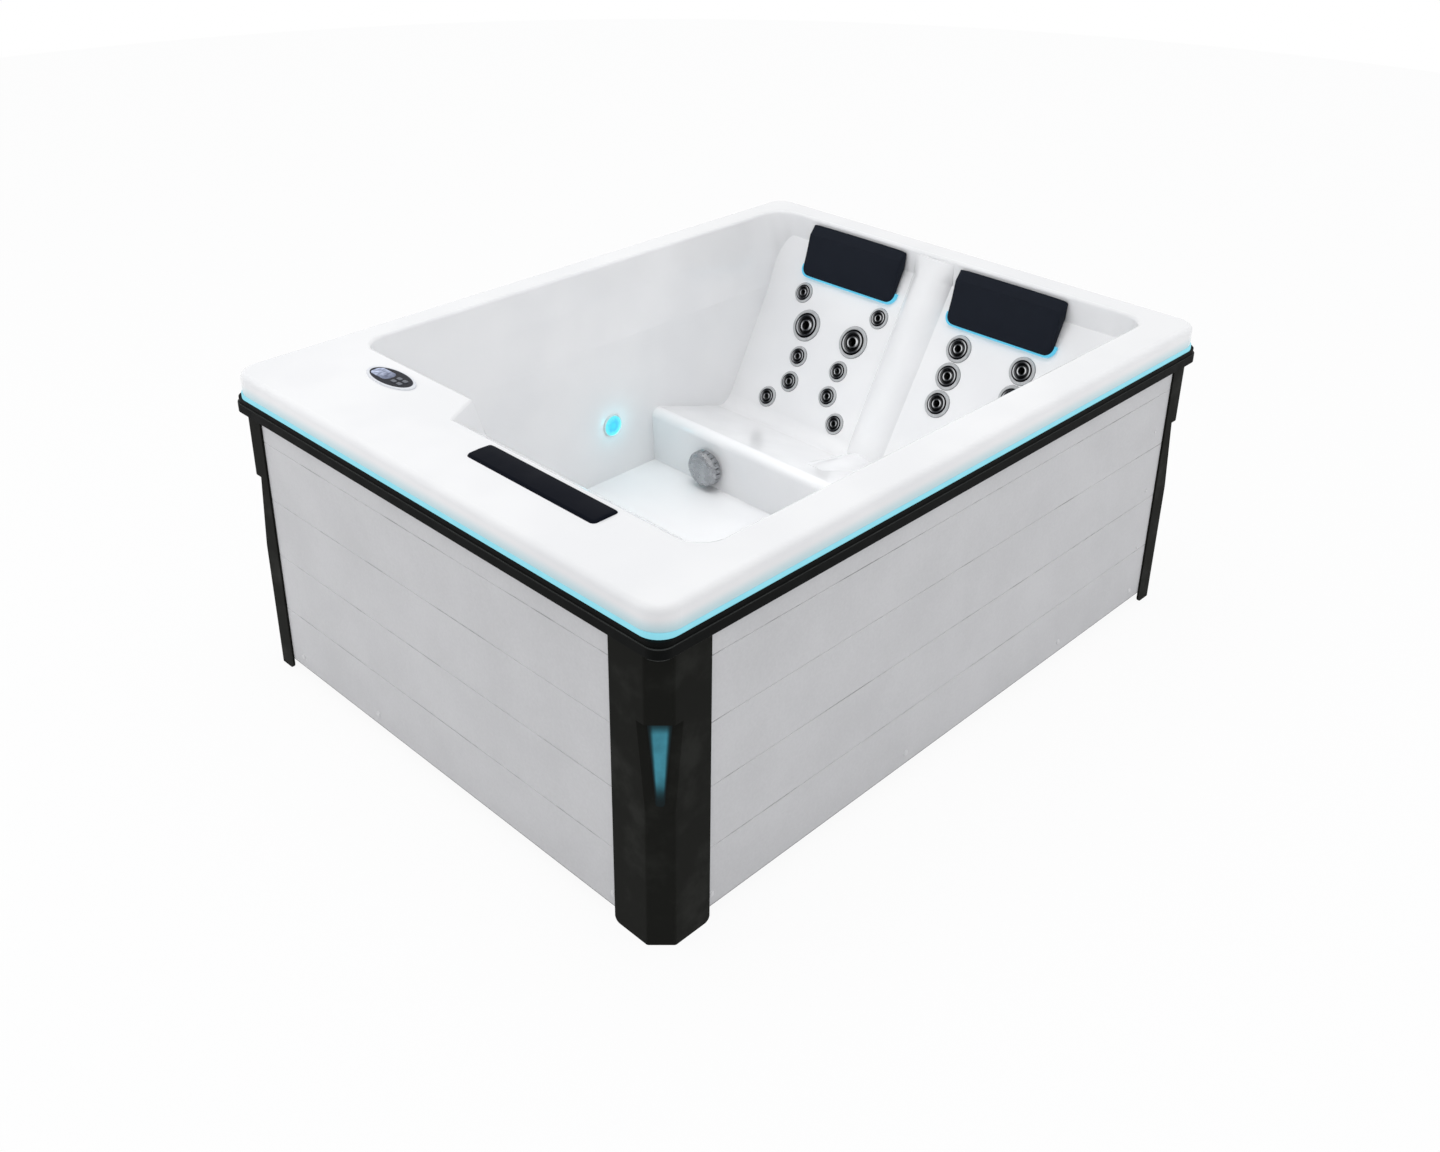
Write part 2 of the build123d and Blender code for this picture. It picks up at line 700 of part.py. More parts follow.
def display_window():
    """Flush window over the lit display."""
    window = RectangleRounded(DISPLAY_WIDTH, DISPLAY_LENGTH, 16.0)
    return display_place() * extrude(window, amount=-DISPLAY_THICKNESS)


def panel_button():
    """One push button, standing a little proud of the panel."""
    cap = Pos(0, 0, -BUTTON_DEPTH) * extrude(button_face(0), amount=BUTTON_DEPTH + BUTTON_PROUD)
    return chamfer(cap.edges().group_by(Axis.Z)[-1], 0.5)


def make_shell():
    """Rim, skirt and basin moulded in one skin, with its fitting holes."""
    rim = outline_prism(RIM_INSET, RIM_RADIUS, SKIRT_BOTTOM, RIM_TOP)
    rim = fillet(rim.edges().group_by(Axis.Z)[-1], RIM_EDGE_FILLET)
    under = outline_prism(
        RIM_INSET + SHELL_THICKNESS,
        RIM_RADIUS - SHELL_THICKNESS,
        SKIRT_BOTTOM - EPS,
        RIM_TOP - SHELL_THICKNESS,
    )
    skin = (rim - under) + hollow(SHELL_THICKNESS) + pillow_c_pocket(SHELL_THICKNESS, RIM_TOP - EPS)
    skin = skin - hollow(0.0) - basin_mouth()
    inner = skin.edges().filter_by(is_basin_edge)
    skin = fillet(inner, RIM_INNER_FILLET)
    skin = skin - pillow_c_pocket(0.0, RIM_TOP + EPS)
    holes = [plane.location * jet_hole(size) for name, size, plane in jet_places()]
    deep = 4 * SHELL_THICKNESS
    neck = suction_neck() + JET_HOLE_FIT
    holes.append(on_riser(SUCTION_Y, SUCTION_Z).location * Cylinder(neck, deep))
    lamp = light_tube() + JET_HOLE_FIT
    holes.append(on_left_wall(LIGHT_X, LIGHT_Z).location * Cylinder(lamp, deep))
    drain = DRAIN_BODY_RADIUS + JET_HOLE_FIT
    holes.append(Pos(DRAIN_X, DRAIN_Y, FLOOR_Z) * Cylinder(drain, deep))
    slot_length = CONTROL_BODY_LENGTH + 2 * JET_HOLE_FIT
    slot_width = CONTROL_BODY_WIDTH + 2 * JET_HOLE_FIT
    holes.append(control_body_bar(slot_length, slot_width, RIM_TOP - deep, RIM_TOP + EPS))
    return skin - holes


def is_basin_edge(edge):
    """True for an edge at rim level round the mouth of the basin."""
    box = edge.bounding_box()
    if box.min.Z < RIM_TOP - 0.01 or box.max.Z > RIM_TOP + 0.01:
        return False
    middle = edge.position_at(0.5)
    inside_x = SHOULDER_X[0] - 5.0 < middle.X < BASIN_HEAD_X[0] + 5.0
    return inside_x and BASIN_RIGHT_Y[0] - 5.0 < middle.Y < BASIN_LEFT_Y[0] + 5.0


def pillow_c_pocket(grow, top):
    """Shallow seat for the third pillow in the rim, or its outside when grown."""
    depth = PILLOW_C_THICKNESS - PILLOW_C_PROUD
    return pillow_c_solid(PILLOW_FIT + grow, RIM_TOP - depth - PILLOW_FIT - grow, top)


def pillow_c_solid(extra, z_low, z_high):
    """The third pillow's plan between two heights."""
    face = RectangleRounded(
        PILLOW_C_WIDTH + 2 * extra, PILLOW_C_LENGTH + 2 * extra, PILLOW_RADIUS + extra
    )
    return Pos(PILLOW_C_X, SEAT_C_Y, z_low) * extrude(face, amount=z_high - z_low)


def strip_ring():
    """Light strip that runs all round under the rim."""
    outer = outline_prism(STRIP_INSET, RIM_RADIUS - 6.0, STRIP_BOTTOM, SKIRT_BOTTOM)
    depth = STRIP_INSET + 14.0
    inner = outline_prism(depth, RIM_RADIUS - 20.0, STRIP_BOTTOM - EPS, SKIRT_BOTTOM + EPS)
    return outer - inner


def trim_ring():
    """Trim under the light strip: a shelf with a lip over the panels' top edges."""
    shelf = outline_prism(TRIM_UPPER_INSET, TRIM_RADIUS, TRIM_SHELF, STRIP_BOTTOM)
    inner = outline_prism(TRIM_DEPTH, TRIM_RADIUS * 0.5, TRIM_SHELF - EPS, STRIP_BOTTOM + EPS)
    lip = outline_prism(0.0, TRIM_RADIUS, TRIM_BOTTOM, TRIM_SHELF)
    lip = chamfer(lip.edges().group_by(Axis.Z)[0], 2.0)
    behind = outline_prism(PANEL_INSET, TRIM_RADIUS - PANEL_INSET, TRIM_BOTTOM - EPS, TRIM_SHELF)
    return (shelf - inner) + (lip - behind)


def split_trim(ring):
    """The trim cut into four straight rails and four corner pieces."""
    x_end = LENGTH / 2 - TRIM_CORNER_LENGTH
    y_end = WIDTH / 2 - TRIM_CORNER_LENGTH
    tall = (0.0, RIM_TOP)
    far = LENGTH
    short = ring & block((x_end, far), (-y_end, y_end), tall)
    add("trim_rails_short", group([short, mirror(short, Plane.YZ)]))
    long = ring & block((-x_end, x_end), (y_end, far), tall)
    add("trim_rails_long", group([long, mirror(long, Plane.XZ)]))
    corner = ring & block((x_end, far), (y_end, far), tall)
    add("trim_corners", group(four_corners(corner)))


def four_corners(shape):
    """A corner piece and its three mirror images."""
    across = mirror(shape, Plane.YZ)
    return [shape, across, mirror(shape, Plane.XZ), mirror(across, Plane.XZ)]


def planked_panel(x_low, x_high):
    """A flat panel along X, its front face towards +Y, grooved like planks."""
    body = block((x_low, x_high), (-PANEL_THICKNESS, 0.0), (PANEL_BOTTOM, TRIM_SHELF))
    for count in range(1, PLANK_COUNT + 1):
        z = PANEL_BOTTOM + count * PLANK_HEIGHT
        width = PLANK_GROOVE_WIDTH / 2
        cut = make_face(
            Polyline((EPS, z - width), (EPS, z + width), (0, z + width),
                     (-PLANK_GROOVE_DEPTH, z), (0, z - width), close=True)
        )
        groove = extrude(Plane.YZ * cut, amount=x_high - x_low + 2 * EPS)
        body -= Pos(x_low - EPS, 0, 0) * groove
    return body


def make_panels():
    """Two long and two short side panels, each running a little behind its posts."""
    out_y = HALF_WIDTH - PANEL_INSET
    out_x = HALF_LENGTH - PANEL_INSET
    behind = POST_INSET - PANEL_BEHIND_POST
    end_x = HALF_LENGTH - behind - POST_LEG
    end_y = HALF_WIDTH - behind - POST_LEG
    wide_x = HALF_LENGTH - behind - WIDE_POST_LEG
    wide_y = HALF_WIDTH - behind - WIDE_POST_LEG
    add("side_panel_left", Pos(0, out_y, 0) * planked_panel(-end_x, end_x))
    add("side_panel_right", Pos(0, -out_y, 0) * Rot(0, 0, 180) * planked_panel(-end_x, wide_x))
    add("side_panel_foot", Pos(-out_x, 0, 0) * Rot(0, 0, 90) * planked_panel(-wide_y, end_y))
    add("side_panel_head", Pos(out_x, 0, 0) * Rot(0, 0, -90) * planked_panel(-end_y, end_y))


def cap(radius, height):
    """A domed screw cap on a face towards +Y."""
    profile = ((0.0, 0.0), (radius, 0.0), (radius * 0.7, height * 0.8), (0.0, height))
    return Rot(-90, 0, 0) * lathe(profile)


def make_caps():
    """Screw caps along the foot of each panel, and up the head ends of the long ones."""
    out_y = WIDTH / 2 - PANEL_INSET
    out_x = LENGTH / 2 - PANEL_INSET
    large = cap(CAP_RADIUS, CAP_HEIGHT)
    small = cap(EDGE_CAP_RADIUS, EDGE_CAP_HEIGHT)
    caps = []
    end_x = HALF_LENGTH - END_CAP_FROM_END
    end_y = HALF_WIDTH - END_CAP_FROM_END
    for x in (-end_x, *LONG_PANEL_MIDDLE_CAPS, end_x):
        caps.append(Pos(x, out_y, CAP_Z) * large)
        caps.append(Pos(x, -out_y, CAP_Z) * Rot(0, 0, 180) * large)
    for y in (-end_y, *SHORT_PANEL_MIDDLE_CAPS, end_y):
        caps.append(Pos(-out_x, y, CAP_Z) * Rot(0, 0, 90) * large)
        caps.append(Pos(out_x, y, CAP_Z) * Rot(0, 0, -90) * large)
    edge_x = HALF_LENGTH - EDGE_CAP_FROM_END
    for z in EDGE_CAP_HEIGHTS:
        caps.append(Pos(edge_x, out_y, z) * small)
        caps.append(Pos(edge_x, -out_y, z) * Rot(0, 0, 180) * small)
    return group(caps)


def post_outline(inset, z_low, z_high):
    """The posts' outline round the whole tub: a box with cut and softened corners."""
    face = Rectangle(LENGTH - 2 * inset, WIDTH - 2 * inset)
    cut = POST_CHAMFER - (inset - POST_INSET) * (2 - math.sqrt(2))
    face = chamfer(face.vertices(), cut)
    face = fillet(face.vertices(), POST_EDGE_RADIUS)
    return Pos(0, 0, z_low) * extrude(face, amount=z_high - z_low)


def on_post_corner(shape):
    """Moves a shape from the origin to the sharp corner of the head-left post, X facing out."""
    return Pos(HALF_LENGTH - POST_INSET, HALF_WIDTH - POST_INSET, 0) * Rot(0, 0, 45) * shape


def recess_back(down):
    """Distance of the recess's sloped back from the sharp corner, some way below its top."""
    return RECESS_DEPTH * down / RECESS_HEIGHT - POST_CHAMFER / math.sqrt(2) - RECESS_DEPTH


def recess_wedge(grow):
    """The lit recess as a wedge across the post's corner, deepest at its top."""
    deep = recess_back(0.0) - grow
    top = RECESS_TOP_Z + grow
    drop = (POST_CHAMFER - deep) * RECESS_HEIGHT / RECESS_DEPTH
    face = make_face(
        Polyline((deep, top), (POST_CHAMFER, top), (POST_CHAMFER, top - drop), close=True)
    )
    return on_post_corner(extrude(Plane.XZ * face, amount=2 * POST_CHAMFER, both=True))


def corner_post(leg_x, leg_y):
    """Moulded corner cover at the head-left corner, standing on the floor."""
    x_low = HALF_LENGTH - POST_INSET - leg_x
    y_low = HALF_WIDTH - POST_INSET - leg_y
    corner = block((x_low, HALF_LENGTH), (y_low, HALF_WIDTH), (-EPS, RIM_TOP))
    full = post_outline(POST_INSET, 0.0, TRIM_BOTTOM) & corner
    cover = full - post_outline(POST_INSET + POST_WALL, -EPS, RIM_TOP)
    cover += full & recess_wedge(RECESS_WALL)
    cover -= recess_wedge(0.0)
    foot_y = cover.edges().filter_by(Axis.X).group_by(Axis.Z)[0].sort_by(Axis.Y)[0]
    foot_x = cover.edges().filter_by(Axis.Y).group_by(Axis.Z)[0].sort_by(Axis.X)[0]
    return fillet([foot_y, foot_x], POST_FOOT_RADIUS)


def post_lens():
    """Tapered light window lying on the sloped back of the recess."""
    fall = math.atan2(RECESS_DEPTH, RECESS_HEIGHT)
    half = LENS_HEIGHT / 2
    face = make_face(
        Polyline(
            (-LENS_TOP_WIDTH / 2, half),
            (LENS_TOP_WIDTH / 2, half),
            (LENS_FOOT_WIDTH / 2, -half),
            (-LENS_FOOT_WIDTH / 2, -half),
            close=True,
        )
    )
    face = fillet(face.vertices(), LENS_FOOT_WIDTH * 0.4)
    down = (LENS_MARGIN + half) * math.cos(fall)
    plane = Plane(
        origin=(recess_back(down), 0, RECESS_TOP_Z - down),
        x_dir=(0, 1, 0),
        z_dir=(math.cos(fall), 0, math.sin(fall)),
    )
    return on_post_corner(extrude(plane * face, amount=LENS_THICKNESS))


def make_posts():
    """Four corner posts, one of them wider, and their lenses."""
    head_left, foot_left, head_right, _ = four_corners(corner_post(POST_LEG, POST_LEG))
    wide = four_corners(corner_post(WIDE_POST_LEG, WIDE_POST_LEG))[-1]
    add("corner_post_head_left", head_left)
    add("corner_post_foot_left", foot_left)
    add("corner_post_head_right", head_right)
    add("corner_post_foot_right", wide)
    add("post_lenses", group(four_corners(post_lens())))


def pillow_outline(middle, grow):
    """Outline of a head pillow on the backrest plane, its lower corners rounded."""
    height = BACK_LENGTH
    radius = PILLOW_CORNER_RADIUS + grow
    face = RectangleRounded(PILLOW_WIDTH + 2 * grow, height + 2 * grow, radius)
    return on_backrest(middle, PILLOW_FOOT_ALONG + height / 2).location * face


def head_pillow(middle):
    """Wedge-shaped pillow on the top of a head backrest, its face crowned."""
    foot = SEAT_REAR + BACK_ALONG * PILLOW_FOOT_ALONG + BACK_NORMAL * PILLOW_FIT
    lead = foot + BACK_NORMAL * PILLOW_LIGHT_DEPTH
    wall = BASIN_HEAD_X[1] - 2 * PILLOW_FIT
    shelf_z = BACK_TOP.Z + PILLOW_FIT / BACK_ALONG.X
    rise = PILLOW_FRONT_TOP_Z - SEAT_REAR.Z - BACK_NORMAL.Z * PILLOW_HEAD_THICKNESS
    crest = SEAT_REAR + BACK_ALONG * (rise / BACK_ALONG.Z) + BACK_NORMAL * PILLOW_HEAD_THICKNESS
    sections = []
    half = PILLOW_WIDTH / 2
    for share, fullness in ((-1.0, 0.0), (-0.9, 1.0), (0.0, 1.35), (0.9, 1.0), (1.0, 0.0)):
        swell = BACK_NORMAL * (PILLOW_CROWN * fullness)
        low = lead + (crest - lead) * 0.2 + swell
        high = lead + (crest - lead) * 0.85 + swell
        face = make_face(
            Polyline(
                (foot.X, foot.Z),
                (lead.X, lead.Z),
                (low.X, low.Z),
                (high.X, high.Z),
                (crest.X, crest.Z),
                (wall - 6.0, PILLOW_TOP_Z),
                (wall, PILLOW_TOP_Z - 8.0),
                (wall, shelf_z),
                (BACK_TOP.X, shelf_z),
                close=True,
            )
        )
        sections.append(Pos(0, middle + share * half, 0) * (Plane.XZ * face))
    body = loft(sections, ruled=True)
    return body & extrude(pillow_outline(middle, 0.0), amount=HALF_LENGTH, both=True)


def third_pillow():
    """Long flat pillow lying in the rim behind the third seat."""
    depth = PILLOW_C_THICKNESS - PILLOW_C_PROUD
    body = pillow_c_solid(0.0, RIM_TOP - depth, RIM_TOP + PILLOW_C_PROUD)
    return fillet(body.edges().group_by(Axis.Z)[-1], PILLOW_C_PROUD * 0.8)


def pillow_light(middle):
    """Thin light strip round the lower edge of a head pillow."""
    outer = pillow_outline(middle, PILLOW_FIT + PILLOW_LIGHT_HEIGHT)
    inner = pillow_outline(middle, PILLOW_FIT)
    ring = extrude(outer, amount=PILLOW_LIGHT_DEPTH) - extrude(inner, amount=PILLOW_LIGHT_DEPTH)
    keep = 2 * (PILLOW_LIGHT_RISE + PILLOW_LIGHT_HEIGHT)
    zone = on_backrest(middle, PILLOW_FOOT_ALONG).location * Box(2 * PILLOW_WIDTH, keep, keep)
    return ring & zone


def make_pillows():
    """Three pillows and the light strips under the two head ones."""
    add("pillow_left", head_pillow(SEAT_A_Y))
    add("pillow_right", head_pillow(SEAT_B_Y))
    add("pillow_foot", third_pillow())
    add("pillow_lights", group([pillow_light(SEAT_A_Y), pillow_light(SEAT_B_Y)]))


def make_jets():
    """Wall fittings grouped by size, and each turning face by itself."""
    bodies = {SMALL_JET: [], MEDIUM_JET: [], LARGE_JET: []}
    fittings = {size: jet_body(size) for size in bodies}
    faces = {size: jet_face(size) for size in bodies}
    for name, size, plane in jet_places():
        bodies[size].append(plane.location * fittings[size])
        add(f"jet_face_{name}", plane.location * faces[size])
    add("jet_bodies_small", group(bodies[SMALL_JET]))
    add("jet_bodies_medium", group(bodies[MEDIUM_JET]))
    add("jet_bodies_large", group(bodies[LARGE_JET]))


def make_fittings():
    """Suction, light, drain and the control panel with its buttons."""
    riser = on_riser(SUCTION_Y, SUCTION_Z).location
    add("suction_cover", riser * suction_cover())
    add("suction_body", riser * suction_body())
    wall = on_left_wall(LIGHT_X, LIGHT_Z).location
    add("light_housing", wall * light_body())
    add("light_lens", wall * light_lens())
    add("floor_drain", Pos(DRAIN_X, DRAIN_Y, FLOOR_Z) * floor_drain())
    add("control_panel", control_panel())
    add("display_window", display_window())
    for name, place in button_places():
        add(name, place * panel_button())


def make_base():
    """Base tray and the timber frame that stands in it."""
    tray = outline_prism(TRAY_INSET, TRAY_RADIUS, 0.0, TRAY_LIP)
    well_radius = TRAY_RADIUS - TRAY_LIP_WALL
    well = outline_prism(
        TRAY_INSET + TRAY_LIP_WALL, well_radius, TRAY_THICKNESS, TRAY_LIP + EPS
    )
    add("base_tray", tray - well)
    add("timber_frame", group(frame_timbers()))


def frame_timbers():
    """Floor beams, top rails, uprights and the bearers under the footwell."""
    x_out = LENGTH / 2 - FRAME_INSET
    y_out = WIDTH / 2 - FRAME_INSET
    x_in = x_out - BEAM
    y_in = y_out - BEAM
    low = (TRAY_THICKNESS, TRAY_THICKNESS + BEAM)
    high = (TRIM_SHELF - BEAM, TRIM_SHELF)
    timbers = []
    for z in (low, high):
        timbers.append(block((-x_out, x_out), (y_in, y_out), z))
        timbers.append(block((-x_out, x_out), (-y_out, -y_in), z))
        timbers.append(block((x_in, x_out), (-y_in, y_in), z))
        timbers.append(block((-x_out, -x_in), (-y_in, y_in), z))
    tall = (low[1], high[0])
    short_y = HALF_WIDTH - SHORT_UPRIGHT_FROM_SIDE
    for y in (-short_y, 0.0, short_y):
        for x in ((x_in, x_out), (-x_out, -x_in)):
            timbers.append(block(x, (y - BEAM / 2, y + BEAM / 2), tall))
    long_x = HALF_LENGTH - LONG_UPRIGHT_FROM_END
    for x in (-long_x, -LONG_UPRIGHT_X, LONG_UPRIGHT_X, long_x):
        for y in ((y_in, y_out), (-y_out, -y_in)):
            timbers.append(block((x - BEAM / 2, x + BEAM / 2), y, tall))
    span = (BENCH_FRONT_X + BEARER_SHORTER / 2, SEAT_FRONT_X - BEARER_SHORTER / 2)
    right = BASIN_RIGHT_Y[3] + RIGHT_BEARER_FROM_WALL
    left = BASIN_LEFT_Y[3] - LEFT_BEARER_FROM_WALL
    for y in (right, 0.0, left):
        side = (y - BEARER_WIDTH / 2, y + BEARER_WIDTH / 2)
        timbers.append(block(span, side, (TRAY_THICKNESS, FLOOR_Z - SHELL_THICKNESS)))
    return timbers


def pipe(points, radius):
    """A round pipe along straight runs with tangent bends."""
    path = FilletPolyline(*points, radius=PIPE_BEND)
    start = Plane(origin=path @ 0, z_dir=path % 0)
    return sweep(start * Circle(radius), path=path)


def along_y(radius, y_low, y_high, x, z):
    """A round bar along Y."""
    bar = Rot(-90, 0, 0) * Cylinder(radius, y_high - y_low)
    return Pos(x, (y_low + y_high) / 2, z) * bar


def jet_pump():
    """Jet pump on its foot: finned motor, volute and two ports."""
    x = EQUIPMENT_X
    y_low, y_high = PUMP_Y
    volute_end = y_low + PUMP_VOLUTE_LENGTH
    body = along_y(PUMP_VOLUTE_RADIUS, y_low + 24.0, volute_end, x, PUMP_AXIS_Z)
    body += along_y(PUMP_RADIUS, volute_end, y_high, x, PUMP_AXIS_Z)
    body += along_y(PIPE_RADIUS + 6.0, y_low, y_low + 30.0, x, PUMP_AXIS_Z)
    port_y = (y_low + 24.0 + volute_end) / 2
    port_top = PUMP_AXIS_Z + PUMP_VOLUTE_RADIUS + 14.0
    port = Cylinder(PIPE_RADIUS + 6.0, port_top - PUMP_AXIS_Z)
    body += Pos(x, port_y, (port_top + PUMP_AXIS_Z) / 2) * port
    for step in range(PUMP_FINS):
        y = volute_end + 40.0 + 28.0 * step
        body += along_y(PUMP_RADIUS + 6.0, y, y + 6.0, x, PUMP_AXIS_Z)
    wide = (x - PUMP_FOOT_WIDTH / 2, x + PUMP_FOOT_WIDTH / 2)
    foot = block(wide, (volute_end, y_high - 20.0), (TRAY_THICKNESS, PUMP_AXIS_Z))
    return body + foot


def pump_port():
    """Where the pump's upper port ends."""
    y_low = PUMP_Y[0]
    port_y = (y_low + 24.0 + y_low + PUMP_VOLUTE_LENGTH) / 2
    return Vector(EQUIPMENT_X, port_y, PUMP_AXIS_Z + PUMP_VOLUTE_RADIUS + 14.0)


def heater():
    """Stainless heater tube with a union at each end."""
    y_low, y_high = HEATER_Y
    x = EQUIPMENT_X
    body = along_y(HEATER_RADIUS, y_low, y_high, x, HEATER_Z)
    body += along_y(HEATER_RADIUS + 8.0, y_low, y_low + 26.0, x, HEATER_Z)
    return body + along_y(HEATER_RADIUS + 8.0, y_high - 26.0, y_high, x, HEATER_Z)


def control_box():
    """Closed box with the pump controls, under the heater."""
    across = (EQUIPMENT_X - CONTROL_BOX_WIDTH / 2, EQUIPMENT_X + CONTROL_BOX_WIDTH / 2)
    middle = (HEATER_Y[0] + HEATER_Y[1]) / 2
    along = (middle - CONTROL_BOX_LENGTH / 2, middle + CONTROL_BOX_LENGTH / 2)
    body = block(across, along, (TRAY_THICKNESS, HEATER_Z - HEATER_RADIUS))
    return fillet(body.edges().filter_by(Axis.Z), 12.0)


def air_blower():
    """Air blower standing on the tray, with a domed lid."""
    r = BLOWER_RADIUS
    h = BLOWER_HEIGHT
    profile = ((0, 0), (r, 0), (r, h * 0.55), (r - 6, h * 0.58), (r - 6, h * 0.85),
               (r - 24, h * 0.97), (0, h))
    return Pos(EQUIPMENT_X, BLOWER_Y, TRAY_THICKNESS) * lathe(profile)


def hose(start, end, radius):
    """A straight hose between two points."""
    run = end - start
    plane = Plane(origin=start, z_dir=run)
    return extrude(plane * Circle(radius), amount=run.length)


def make_equipment():
    """Pump, heater, control box, blower and the pipes that join them."""
    add("jet_pump", jet_pump())
    add("heater", heater())
    add("control_box", control_box())
    add("air_blower", air_blower())
    manifold = along_y(MANIFOLD_RADIUS, MANIFOLD_Y[0], MANIFOLD_Y[1], MANIFOLD_X, MANIFOLD_Z)
    add("water_pipes", group([
        suction_pipe(), heater_pipe(), manifold, pressure_pipe(manifold), drain_pipe(),
    ]))
    add("jet_hoses", group(jet_hoses(manifold)))


def suction_pipe():
    """Pipe from the suction fitting down, under the footwell and into the pump."""
    fitting = on_riser(SUCTION_Y, SUCTION_Z)
    back = fitting.origin - fitting.z_dir * (SUCTION_BODY_DEPTH - PIPE_RADIUS - 4.0)
    top = back.Z - suction_neck() + PIPE_RADIUS
    points = (
        (back.X, SUCTION_Y, top),
        (back.X, SUCTION_Y, PUMP_AXIS_Z),
        (back.X, SUCTION_RUN_Y, PUMP_AXIS_Z),
        (EQUIPMENT_X, SUCTION_RUN_Y, PUMP_AXIS_Z),
        (EQUIPMENT_X, PUMP_Y[0], PUMP_AXIS_Z),
    )
    return pipe(points, PIPE_RADIUS) - PARTS["suction_body"]


def heater_pipe():
    """Pipe from the pump's upper port into the heater."""
    port = pump_port()
    points = (
        (port.X, port.Y, port.Z),
        (port.X, port.Y, HEATER_Z),
        (EQUIPMENT_X, HEATER_Y[1], HEATER_Z),
    )
    return pipe(points, PIPE_RADIUS)


def pressure_pipe(manifold):
    """Pipe from the heater under the footwell to the jet manifold."""
    points = (
        (EQUIPMENT_X, HEATER_Y[0], HEATER_Z),
        (EQUIPMENT_X, PRESSURE_Y, HEATER_Z),
        (EQUIPMENT_X, PRESSURE_Y, PUMP_AXIS_Z),
        (MANIFOLD_X, PRESSURE_Y, PUMP_AXIS_Z),
        (MANIFOLD_X, PRESSURE_Y, MANIFOLD_Z),
    )
    return pipe(points, PIPE_RADIUS) - manifold


def jet_chain(middle, rows, side):
    """The jets on one side of a head seat, from the lowest up."""
    chain = []
    for places, size in rows:
        for aside, along in places:
            chain.append((along, size, on_backrest(middle + side * aside, along)))
    return sorted(chain, key=lambda jet: jet[0])


def jet_hoses(manifold):
    """Hoses from the manifold to the lowest jet of each side, then from jet to jet."""
    seats = (
        (SEAT_A_Y, ((SEAT_A_SMALL, SMALL_JET), (SEAT_A_LARGE, LARGE_JET))),
        (SEAT_B_Y, ((SEAT_B_MEDIUM, MEDIUM_JET),)),
    )
    depth = JET_BARREL_DEPTH - HOSE_RADIUS
    hoses = []
    for middle, rows in seats:
        for side in (1, -1):
            below = manifold
            start = None
            for along, size, plane in jet_chain(middle, rows, side):
                end = plane.origin - plane.z_dir * depth
                if start is None:
                    start = Vector(MANIFOLD_X, end.Y, MANIFOLD_Z)
                fitting = plane.location * jet_body(size)
                tube = hose(start, end, HOSE_RADIUS) - below - fitting
                hoses.append(tube.solids().sort_by(SortBy.VOLUME)[-1])
                below = fitting
                start = end
    return hoses


def drain_pipe():
    """Pipe from the floor drain to just inside the right panel."""
    low = FLOOR_Z - DRAIN_DEPTH
    run_z = low - 2 * PIPE_RADIUS
    end = -(WIDTH / 2 - PANEL_INSET - PANEL_THICKNESS)
    path = FilletPolyline(
        (DRAIN_X, DRAIN_Y, low), (DRAIN_X, DRAIN_Y, run_z), (DRAIN_X, end, run_z),
        radius=PIPE_RADIUS * 1.6,
    )
    start = Plane(origin=path @ 0, z_dir=path % 0)
    return sweep(start * Circle(PIPE_RADIUS * 0.8), path=path)


def write_parts():
    """Write one STEP file per node."""
    os.makedirs("parts", exist_ok=True)
    for name, shape in PARTS.items():
        export_step(shape, f"parts/{name}.step")


add("tub_shell", make_shell())
add("rim_light_strip", strip_ring())
split_trim(trim_ring())
make_panels()
add("panel_screw_caps", make_caps())
make_posts()
make_pillows()
make_jets()
make_fittings()
make_base()
make_equipment()
write_parts()
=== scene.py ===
import json
import math

import bmesh
import bpy
from mathutils import Matrix, Vector


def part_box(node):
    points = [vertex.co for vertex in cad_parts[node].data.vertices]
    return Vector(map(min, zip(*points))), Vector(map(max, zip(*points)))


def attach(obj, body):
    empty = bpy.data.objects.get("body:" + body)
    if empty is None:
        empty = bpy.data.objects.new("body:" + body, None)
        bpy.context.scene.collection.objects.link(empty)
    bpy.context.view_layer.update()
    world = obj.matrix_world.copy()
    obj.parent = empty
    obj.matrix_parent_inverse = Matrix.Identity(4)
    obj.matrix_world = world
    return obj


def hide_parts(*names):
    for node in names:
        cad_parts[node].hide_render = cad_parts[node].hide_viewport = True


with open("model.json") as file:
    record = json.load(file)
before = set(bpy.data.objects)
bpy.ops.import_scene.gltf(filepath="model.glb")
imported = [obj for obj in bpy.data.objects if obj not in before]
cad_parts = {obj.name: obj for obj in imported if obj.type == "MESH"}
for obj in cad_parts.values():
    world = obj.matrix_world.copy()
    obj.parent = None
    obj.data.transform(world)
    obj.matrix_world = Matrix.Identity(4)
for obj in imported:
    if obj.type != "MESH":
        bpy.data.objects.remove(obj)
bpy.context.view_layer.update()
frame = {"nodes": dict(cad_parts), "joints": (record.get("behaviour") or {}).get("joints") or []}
NODES = frame["nodes"]
ROOT = "tub"

